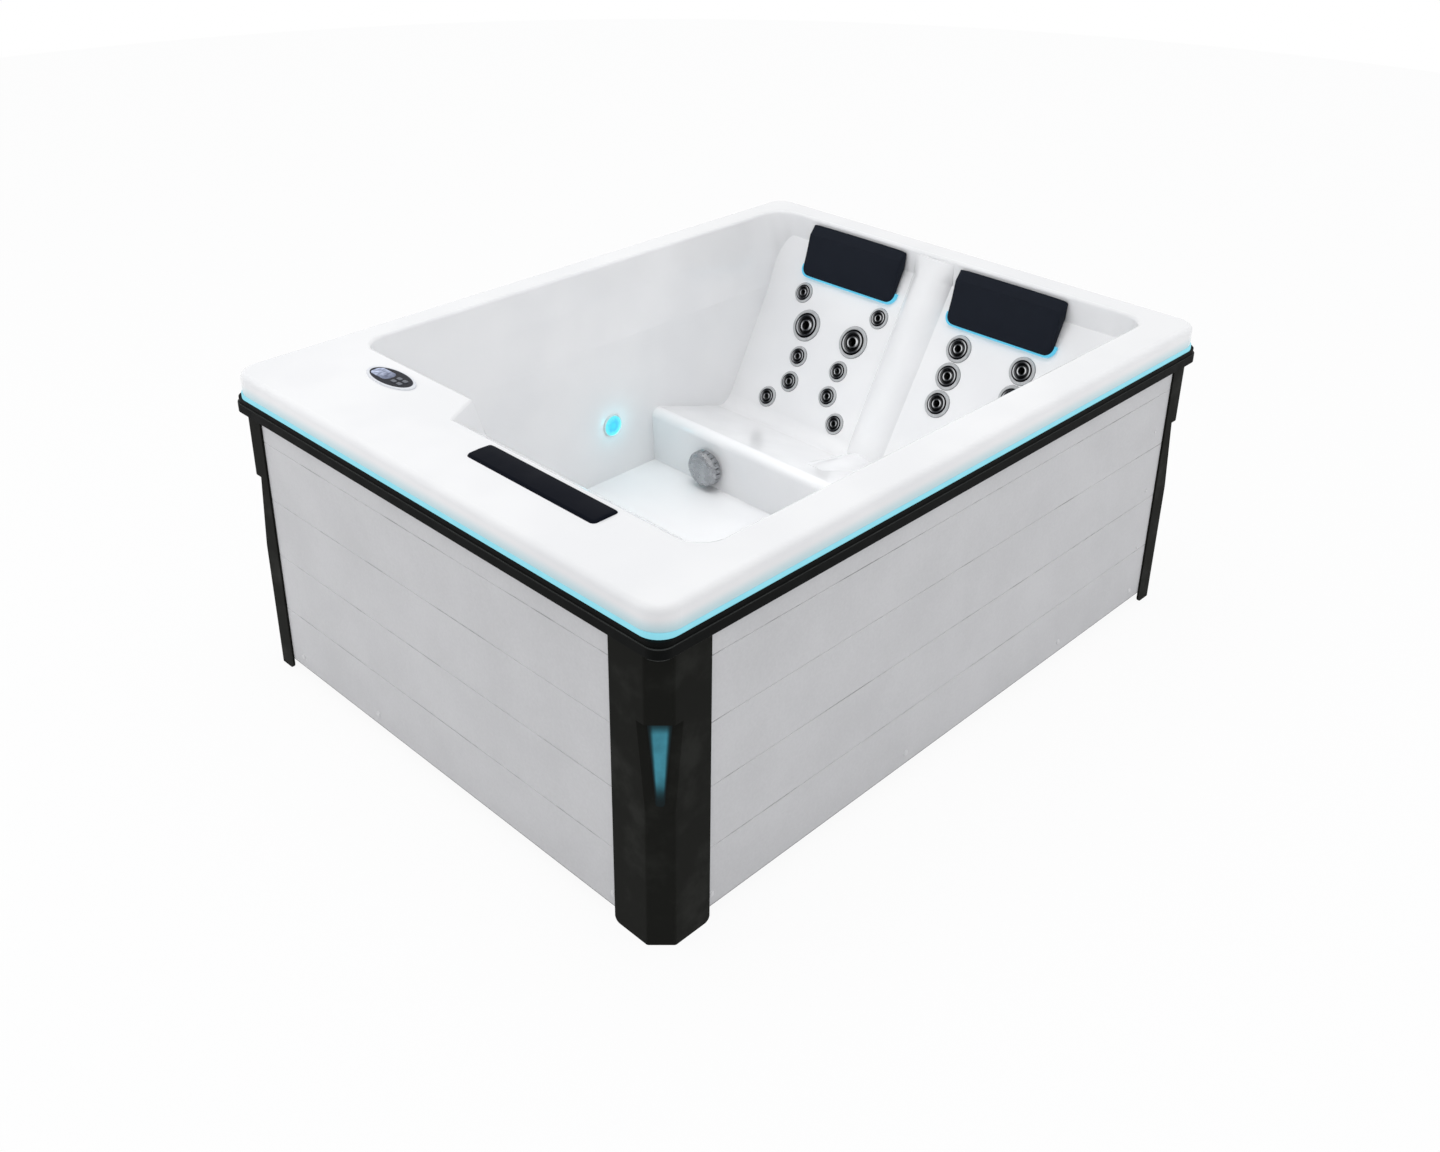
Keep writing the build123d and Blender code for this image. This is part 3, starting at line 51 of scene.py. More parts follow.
# Sizes shared with the CAD model, in metres
SEAT_REAR = Vector((0.645, 0.0, 0.263))
BACK_TOP = Vector((0.952, 0.0, 0.800))
BACK_ALONG = (BACK_TOP - SEAT_REAR).normalized()
BACK_NORMAL = Vector((-BACK_ALONG.z, 0.0, BACK_ALONG.x))
FOOT_WALL = Vector((-0.642, 0.0, 0.180))
FOOT_WALL_NORMAL = Vector((0.460, 0.0, 0.042)).normalized()
TRIM_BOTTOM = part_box("trim_rails_long")[0].z
TRIM_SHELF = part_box("side_panel_left")[1].z
STRIP_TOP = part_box("rim_light_strip")[1].z
SKIRT_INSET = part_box("tub_shell")[1] - Vector((0.050, 0.050, 0.0))
PANEL_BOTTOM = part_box("side_panel_left")[0].z
PLANK_HEIGHT = 0.168
GROOVE_HALF = 0.0020
SKIRT_PAINTED_GLOW_HEIGHT = 0.034
LENS_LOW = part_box("post_lenses")[0].z
LENS_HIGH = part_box("post_lenses")[1].z
LENS_HALF_WIDTHS = (0.009, 0.026)
POST_CORNER = Vector((1.040, 0.790, 0.0))
PILLOW_WIDTH = 0.384
PILLOW_FOOT_ALONG = 0.504
PILLOW_CORNER_RADIUS = 0.028
PILLOW_FOOT_THICKNESS = 0.012
PILLOW_CREST = Vector((0.9185, 0.0, 0.838))
PILLOW_WALL_X = 0.953
PILLOW_TOP_Z = 0.866
PILLOW_CROWN = 0.0085
PILLOW_TOP_CROWN = 0.0022
PILLOW_WAIST = 0.0018
PILLOW_BACK_GAP = 0.0006
PILLOW_TOP_ROUNDING = (0.006, 0.010)
PILLOW_FACE_ROWS = (0.0, 0.012, 0.05, 0.10, 0.16, 0.24, 0.34, 0.46, 0.60, 0.74, 0.86, 0.94, 0.985, 1.0)
PILLOW_TOP_ROWS = (0.08, 0.25, 0.5, 0.75, 0.92, 1.0)
PILLOW_BACK_SHARES = (0.6, 0.2, -0.2, -0.6)
FLAT_PILLOW_EDGE = 0.006
FLAT_PILLOW_CROWN = 0.0012
FLAT_PILLOW_ROUNDING = 0.003
FLAT_PILLOW_END_PULL = 0.32

# Camera, measured from the photograph; its upright lines need a small shift
CAMERA_PLACE = Vector((-2.6526, -2.5114, 2.4381))
CAMERA_AZIMUTH = 44.121
CAMERA_ELEVATION = 26.48
CAMERA_ROLL = 0.699
CAMERA_FOCAL_PX = 1481.7
CAMERA_SHIFT = -0.10
IMAGE_WIDTH = 1440
SENSOR_WIDTH = 36.0

# Colours and levels
NOISE_RANGE = (0.3, 0.7)
SHELL_DARK = (0.845, 0.850, 0.862)
SHELL_LIGHT = (0.885, 0.888, 0.896)
# Painted cyan glow of the rim strip on the skirt's lower edge
SKIRT_PAINTED_GLOW = (0.42, 0.68, 0.74)
# Colour of the plank joints, also used for the painted shade line along the panels' lower edge
JOINT_DARK_AND_FOOT_SHADE = (0.16, 0.16, 0.165)
# Painted highlight colour along the trim's step and lower edge
PAINTED_EDGE_HIGHLIGHT = (0.16, 0.17, 0.165)
PILLOW_NAVY = ((0.0108, 0.0135, 0.0198), (0.0140, 0.0170, 0.0245))
# A darker copy of the pillow navy, painted shade for the foot pillow
PILLOW_NAVY_PAINTED_SHADE = ((0.0030, 0.0040, 0.0080), (0.0045, 0.0058, 0.0105))
# Jet steel: its colour between the painted highlight arcs, at them, and the turn of the arcs
STEEL_DARK = (0.055, 0.058, 0.065)
STEEL_PAINTED_HIGHLIGHT = (0.80, 0.81, 0.83)
HIGHLIGHT_ARC_PHASE = 0.7
CONTROL_RIM = (0.865, 0.895)
SMOOTH_ANGLE = 32.0
PANEL_DARK = (0.585, 0.585, 0.595)
PANEL_LIGHT = (0.635, 0.635, 0.645)
FLOOR_RADIUS = 9.0
FLOOR_WHITENESS = 0.93
FLOOR_COLOUR = (0.86, 0.86, 0.87, 1.0)
FLOOR_DROP = 0.0005
WORLD_LOW = (0.52, 0.52, 0.525)
WORLD_HIGH = (0.88, 0.885, 0.895)
WORLD_STRENGTH = 0.95
GLOW_COLOUR = (0.08, 0.85, 1.0)
GLOW_POWER = 0.09
GLOW_GAP = 0.012

# Lamps: name, place, target, width, power, spread in degrees
LAMPS = (
    ("over_head", (-0.6, 0.4, 4.6), (0.1, 0.0, 0.4), 3.2, 33.0, 180.0),
    ("in_basin", (0.15, 0.0, 1.9), (0.15, 0.0, 0.2), 0.7, 0.95, 62.0),
    ("from_left", (-4.2, 2.2, 2.6), (0.0, 0.0, 0.5), 2.6, 30.0, 180.0),
    ("from_right", (1.4, -4.6, 2.4), (0.1, 0.0, 0.5), 2.6, 25.0, 180.0),
)

# Plain finishes: name, dark and light colour, roughness, scale of the cloud, scale and depth
# of the grain, metal, gloss, and the nodes that wear it
PLAIN_FINISHES = (
    # The light housing's pale colour is tinted cyan as painted light from the lamp.
    ("housing_pale_painted_glow", (0.55, 0.72, 0.75), (0.66, 0.80, 0.82), (0.2, 0.32), 30.0, 200.0, 0.0003, 0.0, 0.5,
     ("light_housing",)),
    ("cap_white", (0.60, 0.60, 0.61), (0.68, 0.68, 0.69), (0.3, 0.45), 60.0, 300.0, 0.0003, 0.0, 0.5,
     ("panel_screw_caps",)),
    ("drain_white", (0.62, 0.63, 0.65), (0.74, 0.75, 0.77), (0.2, 0.3), 40.0, 200.0, 0.0003, 0.0, 0.5,
     ("floor_drain",)),
    ("key_black", (0.10, 0.11, 0.13), (0.20, 0.21, 0.24), (0.3, 0.4), 60.0, 400.0, 0.0002, 0.0, 0.1,
     ("panel_button_1_1", "panel_button_1_2", "panel_button_2_1", "panel_button_2_2")),
    ("moulded_dark", (0.012, 0.012, 0.013), (0.030, 0.030, 0.032), (0.45, 0.6), 18.0, 260.0, 0.0005, 0.0, 0.5,
     ("base_tray", "jet_pump", "air_blower", "suction_body")),
    ("box_grey", (0.22, 0.22, 0.23), (0.30, 0.30, 0.31), (0.4, 0.55), 12.0, 260.0, 0.0005, 0.0, 0.5,
     ("control_box",)),
    ("pipe_white", (0.70, 0.70, 0.70), (0.80, 0.80, 0.79), (0.25, 0.4), 14.0, 200.0, 0.0004, 0.0, 0.5,
     ("water_pipes",)),
    ("hose_grey", (0.40, 0.42, 0.44), (0.52, 0.54, 0.56), (0.3, 0.45), 22.0, 200.0, 0.0004, 0.0, 0.5,
     ("jet_hoses",)),
    ("heater_steel", (0.45, 0.46, 0.47), (0.60, 0.61, 0.62), (0.22, 0.38), 30.0, 160.0, 0.0002, 0.9, 0.5,
     ("heater",)),
)

# Steel on a jet face: place across its radius, and how much steel shows there
JET_RINGS = (
    (0.0, 0.0), (0.320, 0.0), (0.350, 0.55), (0.400, 1.0), (0.480, 0.95), (0.510, 0.05), (0.620, 0.0),
    (0.680, 0.20), (0.740, 0.12), (0.780, 0.85), (0.850, 0.70), (0.880, 0.03), (1.0, 0.0),
)

# A pillow's cross-section: place across its half width, share of its full thickness
PILLOW_PROFILE = (
    (-0.985, 0.02), (-1.0, 0.30), (-1.0, 0.66), (-0.992, 0.88), (-0.972, 0.97), (-0.93, 1.0),
    (-0.75, 1.0), (-0.5, 1.0), (-0.25, 1.0), (0.0, 1.0), (0.25, 1.0), (0.5, 1.0), (0.75, 1.0),
    (0.93, 1.0), (0.972, 0.97), (0.992, 0.88), (1.0, 0.66), (1.0, 0.30), (0.985, 0.02),
)


# Rows along the flat pillow: place along its length, share of the pull at its ends
FLAT_PILLOW_ROWS = (
    (0.0, 0.30), (0.010, 0.10), (0.030, 0.0), (0.5, 0.0), (0.970, 0.0), (0.990, 0.10), (1.0, 0.30),
)


# Node helpers

def new_material(name):
    """A material with an empty tree, its output and one Principled shader."""
    material = bpy.data.materials.new(name)
    material.use_nodes = True
    tree = material.node_tree
    tree.nodes.clear()
    output = tree.nodes.new("ShaderNodeOutputMaterial")
    shader = tree.nodes.new("ShaderNodeBsdfPrincipled")
    tree.links.new(shader.outputs[0], output.inputs[0])
    return material, tree, shader


def position(tree):
    return tree.nodes.new("ShaderNodeNewGeometry").outputs["Position"]


def noise(tree, vector, scale, detail=3.0, roughness=0.55):
    node = tree.nodes.new("ShaderNodeTexNoise")
    node.inputs["Scale"].default_value = scale
    node.inputs["Detail"].default_value = detail
    node.inputs["Roughness"].default_value = roughness
    tree.links.new(vector, node.inputs["Vector"])
    return node.outputs["Fac"]


def remap(tree, value, low, high, to_low, to_high, smooth=False):
    node = tree.nodes.new("ShaderNodeMapRange")
    if smooth:
        node.interpolation_type = "SMOOTHSTEP"
    node.inputs["From Min"].default_value = low
    node.inputs["From Max"].default_value = high
    node.inputs["To Min"].default_value = to_low
    node.inputs["To Max"].default_value = to_high
    tree.links.new(value, node.inputs["Value"])
    return node.outputs["Result"]


def spread_over(tree, cloud, low, high):
    """A noise brought to a range of its own."""
    return remap(tree, cloud, *NOISE_RANGE, low, high)


def maths(tree, operation, first, second=None):
    node = tree.nodes.new("ShaderNodeMath")
    node.operation = operation
    for socket, value in zip(node.inputs, (first, second)):
        if value is None:
            continue
        if isinstance(value, (int, float)):
            socket.default_value = value
        else:
            tree.links.new(value, socket)
    return node.outputs[0]


def mix(tree, factor, first, second):
    """Colour mix; each input is a colour tuple or a socket."""
    node = tree.nodes.new("ShaderNodeMix")
    node.data_type = "RGBA"
    sockets = (node.inputs[0], node.inputs[6], node.inputs[7])
    for socket, value in zip(sockets, (factor, first, second)):
        if isinstance(value, (int, float)):
            socket.default_value = value
        elif isinstance(value, tuple):
            socket.default_value = (*value, 1.0)
        else:
            tree.links.new(value, socket)
    return node.outputs[2]


def bump(tree, shader, height, strength, distance):
    node = tree.nodes.new("ShaderNodeBump")
    node.inputs["Strength"].default_value = strength
    node.inputs["Distance"].default_value = distance
    tree.links.new(height, node.inputs["Height"])
    tree.links.new(node.outputs["Normal"], shader.inputs["Normal"])


def above_plane(tree, vector, origin, normal):
    """Signed distance of the shading point from a plane."""
    node = tree.nodes.new("ShaderNodeVectorMath")
    node.operation = "DOT_PRODUCT"
    node.inputs[1].default_value = normal
    tree.links.new(vector, node.inputs[0])
    return maths(tree, "SUBTRACT", node.outputs["Value"], origin.dot(normal))


def axis_of(tree, vector, axis):
    node = tree.nodes.new("ShaderNodeSeparateXYZ")
    tree.links.new(vector, node.inputs[0])
    return node.outputs[axis]


# Materials

def moulded(name, dark, light, rough, scale, grain, depth, metallic, gloss):
    """A plastic or metal whose colour, gloss and surface vary a little."""
    material, tree, shader = new_material(name)
    place = position(tree)
    cloud = noise(tree, place, scale)
    tree.links.new(mix(tree, cloud, dark, light), shader.inputs["Base Color"])
    fine = noise(tree, place, grain, 4.0)
    tree.links.new(spread_over(tree, fine, *rough), shader.inputs["Roughness"])
    shader.inputs["Metallic"].default_value = metallic
    shader.inputs["Specular IOR Level"].default_value = gloss
    bump(tree, shader, fine, 0.25, depth)
    return material


def glowing(name, colour, glow, scale):
    """A frosted lens lit from behind, a little uneven along its length."""
    material, tree, shader = new_material(name)
    cloud = noise(tree, position(tree), scale)
    shader.inputs["Base Color"].default_value = (0.04, 0.10, 0.12, 1.0)
    tree.links.new(mix(tree, cloud, colour, glow), shader.inputs["Emission Color"])
    shader.inputs["Emission Strength"].default_value = 1.0
    shader.inputs["Roughness"].default_value = 0.45
    shader.inputs["Specular IOR Level"].default_value = 0.2
    return material


def shell_material():
    """White gloss acrylic with a faint cloudiness, and the strip's cyan light painted into the colour along
    the skirt's lower edge.
    """
    material, tree, shader = new_material("acrylic_white")
    place = position(tree)
    cloud = noise(tree, place, 3.2, 2.0)
    tint = remap(tree, cloud, 0.35, 0.65, 0.0, 1.0, True)
    plain = mix(tree, tint, SHELL_DARK, SHELL_LIGHT)
    # Painted light: the skirt's outer faces turn cyan just above the strip and fade upward, as if lit by it.
    outward = [maths(tree, "SUBTRACT", maths(tree, "ABSOLUTE", axis_of(tree, place, axis)), inset)
               for axis, inset in ((0, SKIRT_INSET.x), (1, SKIRT_INSET.y))]
    outside = remap(tree, maths(tree, "MAXIMUM", *outward), 0.0, 0.004, 0.0, 1.0)
    height = axis_of(tree, place, 2)
    low = remap(tree, height, STRIP_TOP, STRIP_TOP + SKIRT_PAINTED_GLOW_HEIGHT, 1.0, 0.0, True)
    lit = maths(tree, "MULTIPLY", maths(tree, "MULTIPLY", outside, low), 0.75)
    tree.links.new(mix(tree, lit, plain, SKIRT_PAINTED_GLOW), shader.inputs["Base Color"])
    wave = noise(tree, place, 9.0, 2.0)
    tree.links.new(spread_over(tree, wave, 0.16, 0.26), shader.inputs["Roughness"])
    shader.inputs["Coat Weight"].default_value = 0.35
    shader.inputs["Coat Roughness"].default_value = 0.05
    bump(tree, shader, wave, 0.06, 0.002)
    return material


def panel_material():
    """Light grey composite planks with a fine grain, darker, broken joints, and painted shade along their
    lower edge.
    """
    material, tree, shader = new_material("panel_grey")
    place = position(tree)
    broad = noise(tree, place, 5.0, 4.0)
    fine = noise(tree, place, 140.0, 3.0)
    mottle = maths(tree, "ADD", maths(tree, "MULTIPLY", broad, 0.55), maths(tree, "MULTIPLY", fine, 0.45))
    tint = remap(tree, mottle, 0.38, 0.62, 0.0, 1.0)
    plain = mix(tree, tint, PANEL_DARK, PANEL_LIGHT)
    height = axis_of(tree, place, 2)
    plank = maths(tree, "DIVIDE", maths(tree, "SUBTRACT", height, PANEL_BOTTOM), PLANK_HEIGHT)
    turn = maths(tree, "FRACT", maths(tree, "ADD", plank, 0.5))
    away = maths(tree, "ABSOLUTE", maths(tree, "SUBTRACT", turn, 0.5))
    joint = remap(tree, away, 0.0, GROOVE_HALF / PLANK_HEIGHT, 1.0, 0.0)
    broken = remap(tree, noise(tree, place, 7.0, 4.0, 0.7), 0.47, 0.62, 0.0, 0.70)
    dark = maths(tree, "MULTIPLY", joint, broken)
    # Painted shade: a dark line along the panel's lower edge, in the joint colour.
    foot = remap(tree, height, PANEL_BOTTOM + 0.0010, PANEL_BOTTOM + 0.0030, 0.9, 0.0)
    dark = maths(tree, "MAXIMUM", dark, foot)
    tree.links.new(mix(tree, dark, plain, JOINT_DARK_AND_FOOT_SHADE), shader.inputs["Base Color"])
    tree.links.new(spread_over(tree, fine, 0.55, 0.72), shader.inputs["Roughness"])
    shader.inputs["Specular IOR Level"].default_value = 0.25
    bump(tree, shader, fine, 0.12, 0.0008)
    return material


def post_material():
    """Matt charcoal moulding with lighter rubbed patches."""
    material, tree, shader = new_material("post_charcoal")
    place = position(tree)
    patch = remap(tree, noise(tree, place, 9.0, 4.0, 0.6), 0.46, 0.72, 0.0, 1.0, True)
    base = mix(tree, patch, (0.0080, 0.0083, 0.0070), (0.0132, 0.0137, 0.0118))
    tree.links.new(base, shader.inputs["Base Color"])
    grain = noise(tree, place, 420.0, 2.0)
    tree.links.new(remap(tree, patch, 0.0, 1.0, 0.66, 0.52), shader.inputs["Roughness"])
    shader.inputs["Specular IOR Level"].default_value = 0.055
    bump(tree, shader, grain, 0.15, 0.0004)
    return material


def trim_material():
    """Satin black trim, with a painted highlight line along its step and its lower edge."""
    material, tree, shader = new_material("trim_black")
    place = position(tree)
    height = axis_of(tree, place, 2)
    # Painted highlights: light grey lines, a little uneven, along the lower edge and the step, where the
    # edges catch the light.
    low = remap(tree, height, TRIM_BOTTOM + 0.0012, TRIM_BOTTOM + 0.0022, 1.0, 0.0)
    over = remap(tree, height, TRIM_SHELF - 0.0008, TRIM_SHELF - 0.0001, 0.0, 0.35)
    under = remap(tree, height, TRIM_SHELF + 0.0001, TRIM_SHELF + 0.0008, 1.0, 0.0)
    edge = maths(tree, "MAXIMUM", low, maths(tree, "MULTIPLY", over, under))
    cloud = noise(tree, place, 26.0, 3.0)
    painted_highlight = maths(tree, "MULTIPLY", edge, spread_over(tree, cloud, 0.6, 1.0))
    base = mix(tree, cloud, (0.0022, 0.0027, 0.0026), (0.0045, 0.0050, 0.0048))
    tree.links.new(mix(tree, painted_highlight, base, PAINTED_EDGE_HIGHLIGHT), shader.inputs["Base Color"])
    tree.links.new(spread_over(tree, cloud, 0.48, 0.60), shader.inputs["Roughness"])
    shader.inputs["Specular IOR Level"].default_value = 0.04
    bump(tree, shader, noise(tree, place, 300.0, 2.0), 0.08, 0.0003)
    return material


def lens_material():
    """Teal light window of a post, soft at its sides and fading towards its tip."""
    material, tree, shader = new_material("post_lens_teal")
    place = position(tree)
    height = axis_of(tree, place, 2)
    span = LENS_HIGH - LENS_LOW
    up = remap(tree, height, LENS_LOW + 0.02 * span, LENS_LOW + 0.38 * span, 0.0, 1.0, True)
    down = remap(tree, height, LENS_HIGH - 0.14 * span, LENS_HIGH, 1.0, 0.25, True)
    sideways = maths(tree, "SUBTRACT", maths(tree, "ABSOLUTE", axis_of(tree, place, 1)),
                     maths(tree, "ABSOLUTE", axis_of(tree, place, 0)))
    offset = maths(tree, "ADD", sideways, POST_CORNER.x - POST_CORNER.y)
    aside = maths(tree, "MULTIPLY", maths(tree, "ABSOLUTE", offset), math.sqrt(0.5))
    half = remap(tree, height, LENS_LOW, LENS_HIGH, *LENS_HALF_WIDTHS)
    edge = remap(tree, maths(tree, "DIVIDE", aside, half), 0.50, 1.0, 1.0, 0.0, True)
    cloud = spread_over(tree, noise(tree, place, 30.0, 2.0), 0.88, 1.05)
    level = maths(tree, "MULTIPLY", maths(tree, "MULTIPLY", up, down), maths(tree, "MULTIPLY", edge, cloud))
    shader.inputs["Base Color"].default_value = (0.006, 0.012, 0.014, 1.0)
    glow = mix(tree, level, (0.004, 0.03, 0.035), (0.042, 0.215, 0.285))
    tree.links.new(glow, shader.inputs["Emission Color"])
    tree.links.new(level, shader.inputs["Emission Strength"])
    shader.inputs["Roughness"].default_value = 0.6
    shader.inputs["Specular IOR Level"].default_value = 0.1
    return material


def fitting_material():
    """Pale grey jet flange above the shell, darker than its own near-white as painted shade round the face;
    black inside and below it.
    """
    material, tree, shader = new_material("jet_fitting")
    place = position(tree)
    back = above_plane(tree, place, SEAT_REAR, BACK_NORMAL)
    foot = above_plane(tree, place, FOOT_WALL, FOOT_WALL_NORMAL)
    over = maths(tree, "MINIMUM", back, foot)
    mask = remap(tree, over, 0.0009, 0.0013, 0.0, 1.0)
    cloud = noise(tree, place, 60.0, 2.0)
    # Painted shade: the flange's near-white is darkened to grey to stand for the soft shade round the jet
    # face.
    flange_grey_painted_shade = mix(tree, cloud, (0.40, 0.41, 0.42), (0.55, 0.56, 0.57))
    tree.links.new(mix(tree, mask, (0.008, 0.008, 0.009), flange_grey_painted_shade), shader.inputs["Base Color"])
    tree.links.new(spread_over(tree, cloud, 0.22, 0.34), shader.inputs["Roughness"])
    shader.inputs["Specular IOR Level"].default_value = 0.15
    return material


def jet_material(name, centre, radius):
    """Turned jet face: black nozzle and groove between two steel rings, with painted highlights in two
    opposite arcs.
    """
    material, tree, shader = new_material(name)
    local = tree.nodes.new("ShaderNodeTexCoord")
    local.object = centre
    flat = tree.nodes.new("ShaderNodeVectorMath")
    flat.operation = "MULTIPLY"
    flat.inputs[1].default_value = (1.0, 1.0, 0.0)
    tree.links.new(local.outputs["Object"], flat.inputs[0])
    length = tree.nodes.new("ShaderNodeVectorMath")
    length.operation = "LENGTH"
    tree.links.new(flat.outputs[0], length.inputs[0])
    share = maths(tree, "DIVIDE", length.outputs["Value"], radius)
    ramp = tree.nodes.new("ShaderNodeValToRGB")
    ramp.color_ramp.interpolation = "LINEAR"
    points = ramp.color_ramp.elements
    while len(points) < len(JET_RINGS):
        points.new(0.5)
    for point, (place, value) in zip(points, JET_RINGS):
        point.position = place
        point.color = (value, value, value, 1.0)
    tree.links.new(share, ramp.inputs[0])
    steel = ramp.outputs[0]
    # Painted highlight: the steel brightens and darkens twice round the face, standing in for reflected
    # light.
    around = maths(tree, "ARCTAN2", axis_of(tree, flat.outputs[0], 1), axis_of(tree, flat.outputs[0], 0))
    highlight_arcs = maths(tree, "SINE", maths(tree, "ADD", maths(tree, "MULTIPLY", around, 2.0), HIGHLIGHT_ARC_PHASE))
    steel_painted_highlights = mix(tree, remap(tree, highlight_arcs, -1.0, 1.0, 0.0, 1.0, True), STEEL_DARK, STEEL_PAINTED_HIGHLIGHT)
    tree.links.new(mix(tree, steel, (0.0025, 0.0025, 0.003), steel_painted_highlights), shader.inputs["Base Color"])
    shader.inputs["Metallic"].default_value = 0.92
    shader.inputs["Specular IOR Level"].default_value = 0.1
    tree.links.new(remap(tree, steel, 0.0, 1.0, 0.40, 0.16), shader.inputs["Roughness"])
    return material


def pillow_material(name, dark, light):
    """Dark navy closed-cell foam skin with a fine leathery grain."""
    material, tree, shader = new_material(name)
    place = position(tree)
    cloud = noise(tree, place, 14.0, 3.0)
    tree.links.new(mix(tree, cloud, dark, light), shader.inputs["Base Color"])
    cell = tree.nodes.new("ShaderNodeTexVoronoi")
    cell.inputs["Scale"].default_value = 520.0
    tree.links.new(place, cell.inputs["Vector"])
    tree.links.new(spread_over(tree, cloud, 0.52, 0.64), shader.inputs["Roughness"])
    shader.inputs["Specular IOR Level"].default_value = 0.045
    bump(tree, shader, cell.outputs["Distance"], 0.18, 0.0006)
    return material


def display_material():
    """Lit display: pale blue towards one end, dark at the other."""
    material, tree, shader = new_material("display_lit")
    place = position(tree)
    low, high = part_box("display_window")
    along = remap(tree, axis_of(tree, place, 1), low.y, high.y, 0.25, 1.0, True)
    cloud = noise(tree, place, 70.0, 3.0)
    level = maths(tree, "MULTIPLY", along, remap(tree, cloud, 0.35, 0.65, 0.30, 1.0))
    shader.inputs["Base Color"].default_value = (0.01, 0.012, 0.02, 1.0)
    tree.links.new(mix(tree, level, (0.02, 0.03, 0.08), (0.66, 0.74, 0.96)), shader.inputs["Emission Color"])
    shader.inputs["Emission Strength"].default_value = 1.0
    shader.inputs["Roughness"].default_value = 0.2
    shader.inputs["Specular IOR Level"].default_value = 0.15
    return material


def control_material():
    """Gloss black oval face inside a thin pale rim."""
    material, tree, shader = new_material("control_face")
    place = position(tree)
    low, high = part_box("control_panel")
    shares = []
    for axis in (0, 1):
        middle = (low[axis] + high[axis]) / 2
        half = (high[axis] - low[axis]) / 2
        offset = maths(tree, "SUBTRACT", axis_of(tree, place, axis), middle)
        shares.append(maths(tree, "DIVIDE", offset, half))
    squares = [maths(tree, "POWER", maths(tree, "ABSOLUTE", share), 2.0) for share in shares]
    reach = maths(tree, "SQRT", maths(tree, "ADD", *squares))
    rim = remap(tree, reach, *CONTROL_RIM, 0.0, 1.0)
    cloud = noise(tree, place, 30.0)
    face = mix(tree, cloud, (0.004, 0.005, 0.010), (0.010, 0.012, 0.022))
    tree.links.new(mix(tree, rim, face, (0.74, 0.76, 0.80)), shader.inputs["Base Color"])
    tree.links.new(spread_over(tree, cloud, 0.22, 0.34), shader.inputs["Roughness"])
    shader.inputs["Specular IOR Level"].default_value = 0.08
    return material


def lamp_material():
    """Lit lens with a bluer middle and a bright rim."""
    material, tree, shader = new_material("lamp_cyan")
    low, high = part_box("light_lens")
    away = tree.nodes.new("ShaderNodeVectorMath")
    away.operation = "DISTANCE"
    away.inputs[1].default_value = (low + high) / 2
    tree.links.new(position(tree), away.inputs[0])
    share = maths(tree, "DIVIDE", away.outputs["Value"], (high.x - low.x) / 2)
    cloud = noise(tree, position(tree), 60.0)
    uneven = maths(tree, "ADD", share, spread_over(tree, cloud, -0.12, 0.12))
    rim = remap(tree, uneven, 0.35, 0.95, 0.0, 1.0, True)
    shader.inputs["Base Color"].default_value = (0.03, 0.08, 0.10, 1.0)
    tree.links.new(mix(tree, rim, (0.045, 0.44, 0.78), (0.14, 0.80, 0.90)), shader.inputs["Emission Color"])
    shader.inputs["Emission Strength"].default_value = 1.0
    tree.links.new(spread_over(tree, cloud, 0.3, 0.5), shader.inputs["Roughness"])
    shader.inputs["Specular IOR Level"].default_value = 0.2
    return material


def suction_material():
    """Polished steel cover, a little uneven and finely grained."""
    material, tree, shader = new_material("suction_steel")
    place = position(tree)
    cloud = noise(tree, place, 45.0, 3.0)
    tree.links.new(mix(tree, cloud, (0.24, 0.25, 0.26), (0.50, 0.51, 0.53)), shader.inputs["Base Color"])
    shader.inputs["Metallic"].default_value = 0.92
    tree.links.new(spread_over(tree, cloud, 0.18, 0.34), shader.inputs["Roughness"])
    bump(tree, shader, noise(tree, place, 240.0, 2.0), 0.1, 0.0005)
    return material


def timber_material():
    """Planed softwood with its grain along the boards."""
    material, tree, shader = new_material("timber")
    place = position(tree)
    stretch = tree.nodes.new("ShaderNodeVectorMath")
    stretch.operation = "MULTIPLY"
    stretch.inputs[1].default_value = (1.0, 1.0, 9.0)
    tree.links.new(place, stretch.inputs[0])
    rings = noise(tree, stretch.outputs[0], 8.0, 5.0)
    tree.links.new(mix(tree, rings, (0.30, 0.19, 0.10), (0.52, 0.38, 0.22)), shader.inputs["Base Color"])
    shader.inputs["Roughness"].default_value = 0.7
    return material


def give(material, *names):
    """Put one material on CAD nodes or pieces."""
    for name in names:
        target = NODES[name] if isinstance(name, str) else name
        target.data.materials.clear()
        target.data.materials.append(material)


def paint_frame():
    """Materials for every CAD node but the jet faces and the pillows."""
    give(shell_material(), "tub_shell")
    give(panel_material(), "side_panel_left", "side_panel_right", "side_panel_foot", "side_panel_head")
    corners = ("head_left", "foot_left", "head_right", "foot_right")
    give(post_material(), *[f"corner_post_{corner}" for corner in corners])
    give(trim_material(), "trim_rails_long", "trim_rails_short", "trim_corners")
    give(glowing("rim_strip_cyan", (0.20, 0.57, 0.67), (0.28, 0.66, 0.77), 26.0), "rim_light_strip")
    give(glowing("pillow_strip_cyan", (0.04, 0.38, 0.62), (0.12, 0.56, 0.76), 30.0), "pillow_lights")
    give(lens_material(), "post_lenses")
    give(fitting_material(), "jet_bodies_small", "jet_bodies_medium", "jet_bodies_large")
    give(suction_material(), "suction_cover")
    give(lamp_material(), "light_lens")
    give(control_material(), "control_panel")
    give(display_material(), "display_window")
    for *finish, nodes in PLAIN_FINISHES:
        give(moulded(*finish), *nodes)
    give(timber_material(), "timber_frame")


